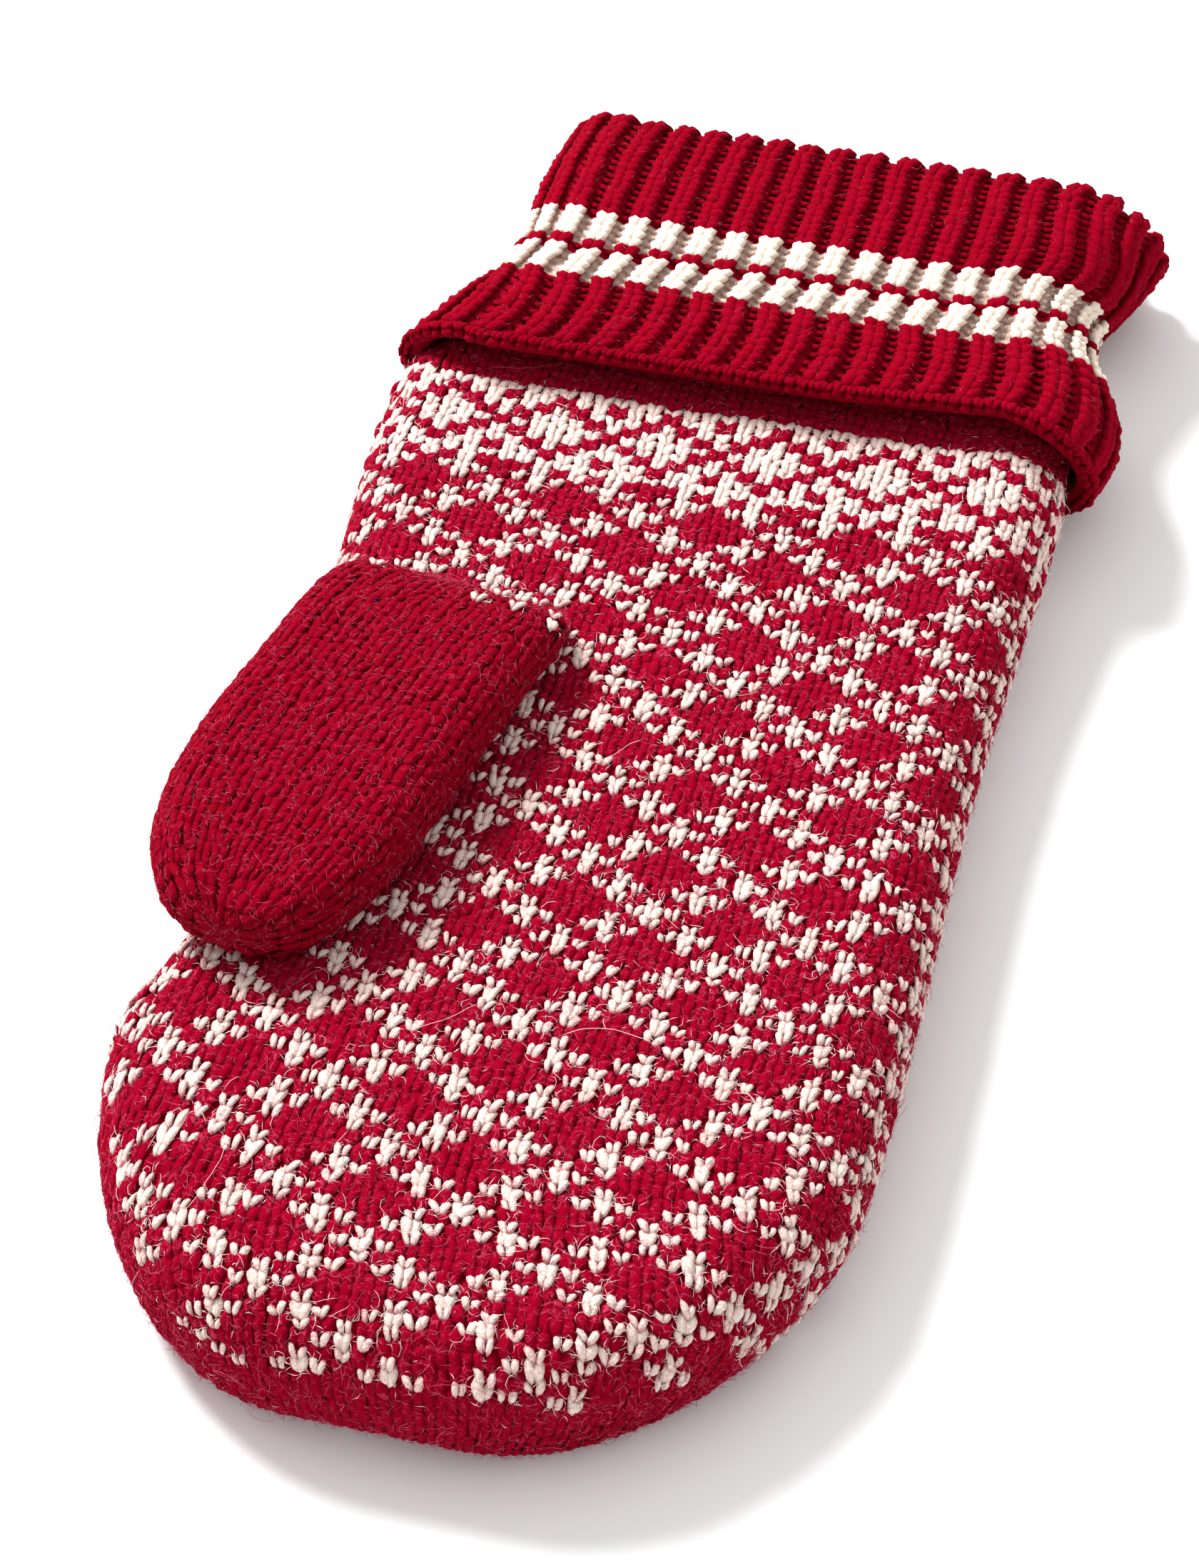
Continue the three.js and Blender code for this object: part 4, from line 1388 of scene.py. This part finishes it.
# Curved hairs that start on the cloth. Each is a thin three-sided tube with pointed ends.
def hairs(place, up, colour, steps, shortest, longest, lift, curl, radius, thick=1.0):
    count = len(place)
    line = np.c_[np.zeros(steps), np.arange(steps), np.zeros(steps)]
    strand = Strand(line, [1.0] * (steps - 2), [1.0] * (steps - 2), HAIR_SIDES)
    aside = unit(np.cross(up, rng.normal(0, 1, (count, 3))))
    across = np.cross(up, aside)
    heading = rng.uniform(0, 2 * math.pi, count)
    bend = rng.normal(0, curl, count)
    step = rng.uniform(shortest, longest, count) / (steps - 1)
    rise = rng.uniform(*HAIR_RISES, count) * lift
    line = [place + up * HAIR_ROOT]
    for index in range(1, steps):
        heading = heading + bend + rng.normal(0, HAIR_WANDER * curl, count)
        ahead = aside * np.cos(heading)[:, None] + across * np.sin(heading)[:, None]
        droop = HAIR_DROOP * (index - 1) / (steps - 1)
        lean = rise * (1 - droop) + rng.normal(0, HAIR_UNSTEADY, count)
        line.append(line[-1] + unit(ahead + up * lean[:, None]) * step[:, None])
    line = np.stack(line, 1)
    inside = np.all((line > HAIR_LOW) & (line < HAIR_HIGH), axis=(1, 2))
    line, up, colour, count = line[inside], up[inside], colour[inside], int(inside.sum())
    line[..., 2] = np.maximum(line[..., 2], HAIR_OVER_FLOOR)
    tangent = unit(np.gradient(line, axis=1))
    side = unit(np.cross(tangent, up[:, None]))
    over = np.cross(side, tangent)
    parts = [line[:, :1]]
    for index in range(1, steps - 1):
        for corner in range(HAIR_SIDES):
            angle = 2 * math.pi * corner / HAIR_SIDES
            offset = side[:, index] * math.cos(angle) + over[:, index] * math.sin(angle)
            parts.append((line[:, index] + radius * thick * offset)[:, None])
    parts.append(line[:, -1:])
    return {
        "strand": strand,
        "points": np.concatenate(parts, 1).reshape(-1, 3),
        "count": count,
        "colour": colour,
        "tone": np.repeat(rng.random(count), len(strand.points)),
        "other": np.zeros(count * len(strand.points)),
    }


# Where hairs start: stitches picked at random, moved a little within the stitch. Red hairs
# wander over the white stitches more often than white ones over the red.
ROOT_SHIFT = 1.3
RED_OVER_WHITE = 0.18
WHITE_OVER_RED = 0.01


def hair_starts(count, place, right, ahead, up, colour):
    pick = rng.integers(0, len(place), count)
    shift = rng.uniform(-ROOT_SHIFT, ROOT_SHIFT, (count, 2))
    start = place[pick] + unit(right[pick]) * shift[:, :1] + unit(ahead[pick]) * shift[:, 1:]
    own, chance = colour[pick], rng.random(count)
    stray = np.where(own == 1, chance < RED_OVER_WHITE, chance < WHITE_OVER_RED)
    return start, up[pick], np.where(stray & colour.any(), 1 - own, own)


# Lying hairs are curly, standing ones short, and frayed ones are white and lie beside the white
# stitches, so that their edges fray. Long ones are few.
def hair_piece(name, cloth, lying, standing, frayed, long_ones, thick):
    groups = [hairs(*hair_starts(lying, *cloth), *LYING_HAIR, thick)]
    groups.append(hairs(*hair_starts(standing, *cloth), *STANDING_HAIR, thick))
    if frayed:
        start, up = hair_starts(frayed, *picked(cloth, cloth[4] == 1))[:2]
        groups.append(hairs(start, up, np.ones(frayed, int), *FRAYED_HAIR))
    groups.append(hairs(*hair_starts(long_ones, *cloth), *LONG_HAIR))
    add_piece(name, groups, [RED_FIBRE, WHITE_FIBRE])


# The hand's fibres are two pieces, parted at this place along the sheet. Each piece: its cloth,
# then how many hairs of each kind, and how thick its lying and standing ones are.
HAIR_PARTED_V = 80
tip_cloth, wrist_cloth = picked(hand_cloth, v < HAIR_PARTED_V), picked(hand_cloth, v >= HAIR_PARTED_V)
hair_piece("hand_fibres_tip", tip_cloth, 3200, 8000, 2500, 16, 1.0)
hair_piece("hand_fibres_wrist", wrist_cloth, 2200, 7500, 2500, 10, 1.0)
hair_piece("thumb_fibres", picked(thumb_cloth, thumb_top), 800, 3600, 0, 3, 0.7)
cuff_cloth = picked((*rib_cloth, rib_white), shown & (rib_white == 0))
hair_piece("cuff_fibres", cuff_cloth, 200, 3500, 0, 0, 0.6)


# stage, light and camera, in metres

FLOOR_HALF = 3.0
SKY_STRENGTH = 0.9
KEY_PLACE = Vector((-0.8, 0.5, 1.0))
KEY_SIZE = 0.45
KEY_POWER = 32
CAMERA_PLACE = Vector((0.09064, -0.38503, 0.36959))
CAMERA_AHEAD = Vector((-0.18011, 0.70132, -0.68972))
PHOTO_FOCAL_PIXELS = 5500
PHOTO_LONG_SIDE = 2197
SENSOR = 36

floor_shape = bmesh.new()
bmesh.ops.create_grid(floor_shape, x_segments=1, y_segments=1, size=FLOOR_HALF)
floor = add_object("floor", mesh_of("floor", floor_shape))
paper, paper_shader = new_material("white_paper_floor", *PAPER_FINISH)
paper_shader.inputs["Base Color"].default_value = linear("#f7f7f7")
floor.data.materials.append(paper)

world = bpy.data.worlds.new("studio")
bpy.context.scene.world = world
world.use_nodes = True
world.node_tree.nodes["Background"].inputs["Color"].default_value = linear("#ffffff")
world.node_tree.nodes["Background"].inputs["Strength"].default_value = SKY_STRENGTH


# a light or camera at its place, looking ahead
def stand(name, data, place, ahead):
    standing = add_object(name, data)
    standing.location = place
    standing.rotation_mode = "QUATERNION"
    standing.rotation_quaternion = ahead.to_track_quat("-Z", "Y")
    return standing


key_data = bpy.data.lights.new("key_light", "AREA")
key_data.shape = "DISK"
key_data.size = KEY_SIZE
key_data.energy = KEY_POWER
stand("key_light", key_data, KEY_PLACE, -KEY_PLACE)

camera_data = bpy.data.cameras.new("photo_camera")
camera_data.sensor_width = SENSOR
camera_data.lens = SENSOR * PHOTO_FOCAL_PIXELS / PHOTO_LONG_SIDE
camera_data.clip_start = 0.01
bpy.context.scene.camera = stand("photo_camera", camera_data, CAMERA_PLACE, CAMERA_AHEAD)
bpy.context.scene.view_settings.view_transform = "Standard"
bpy.context.scene.view_settings.look = "None"
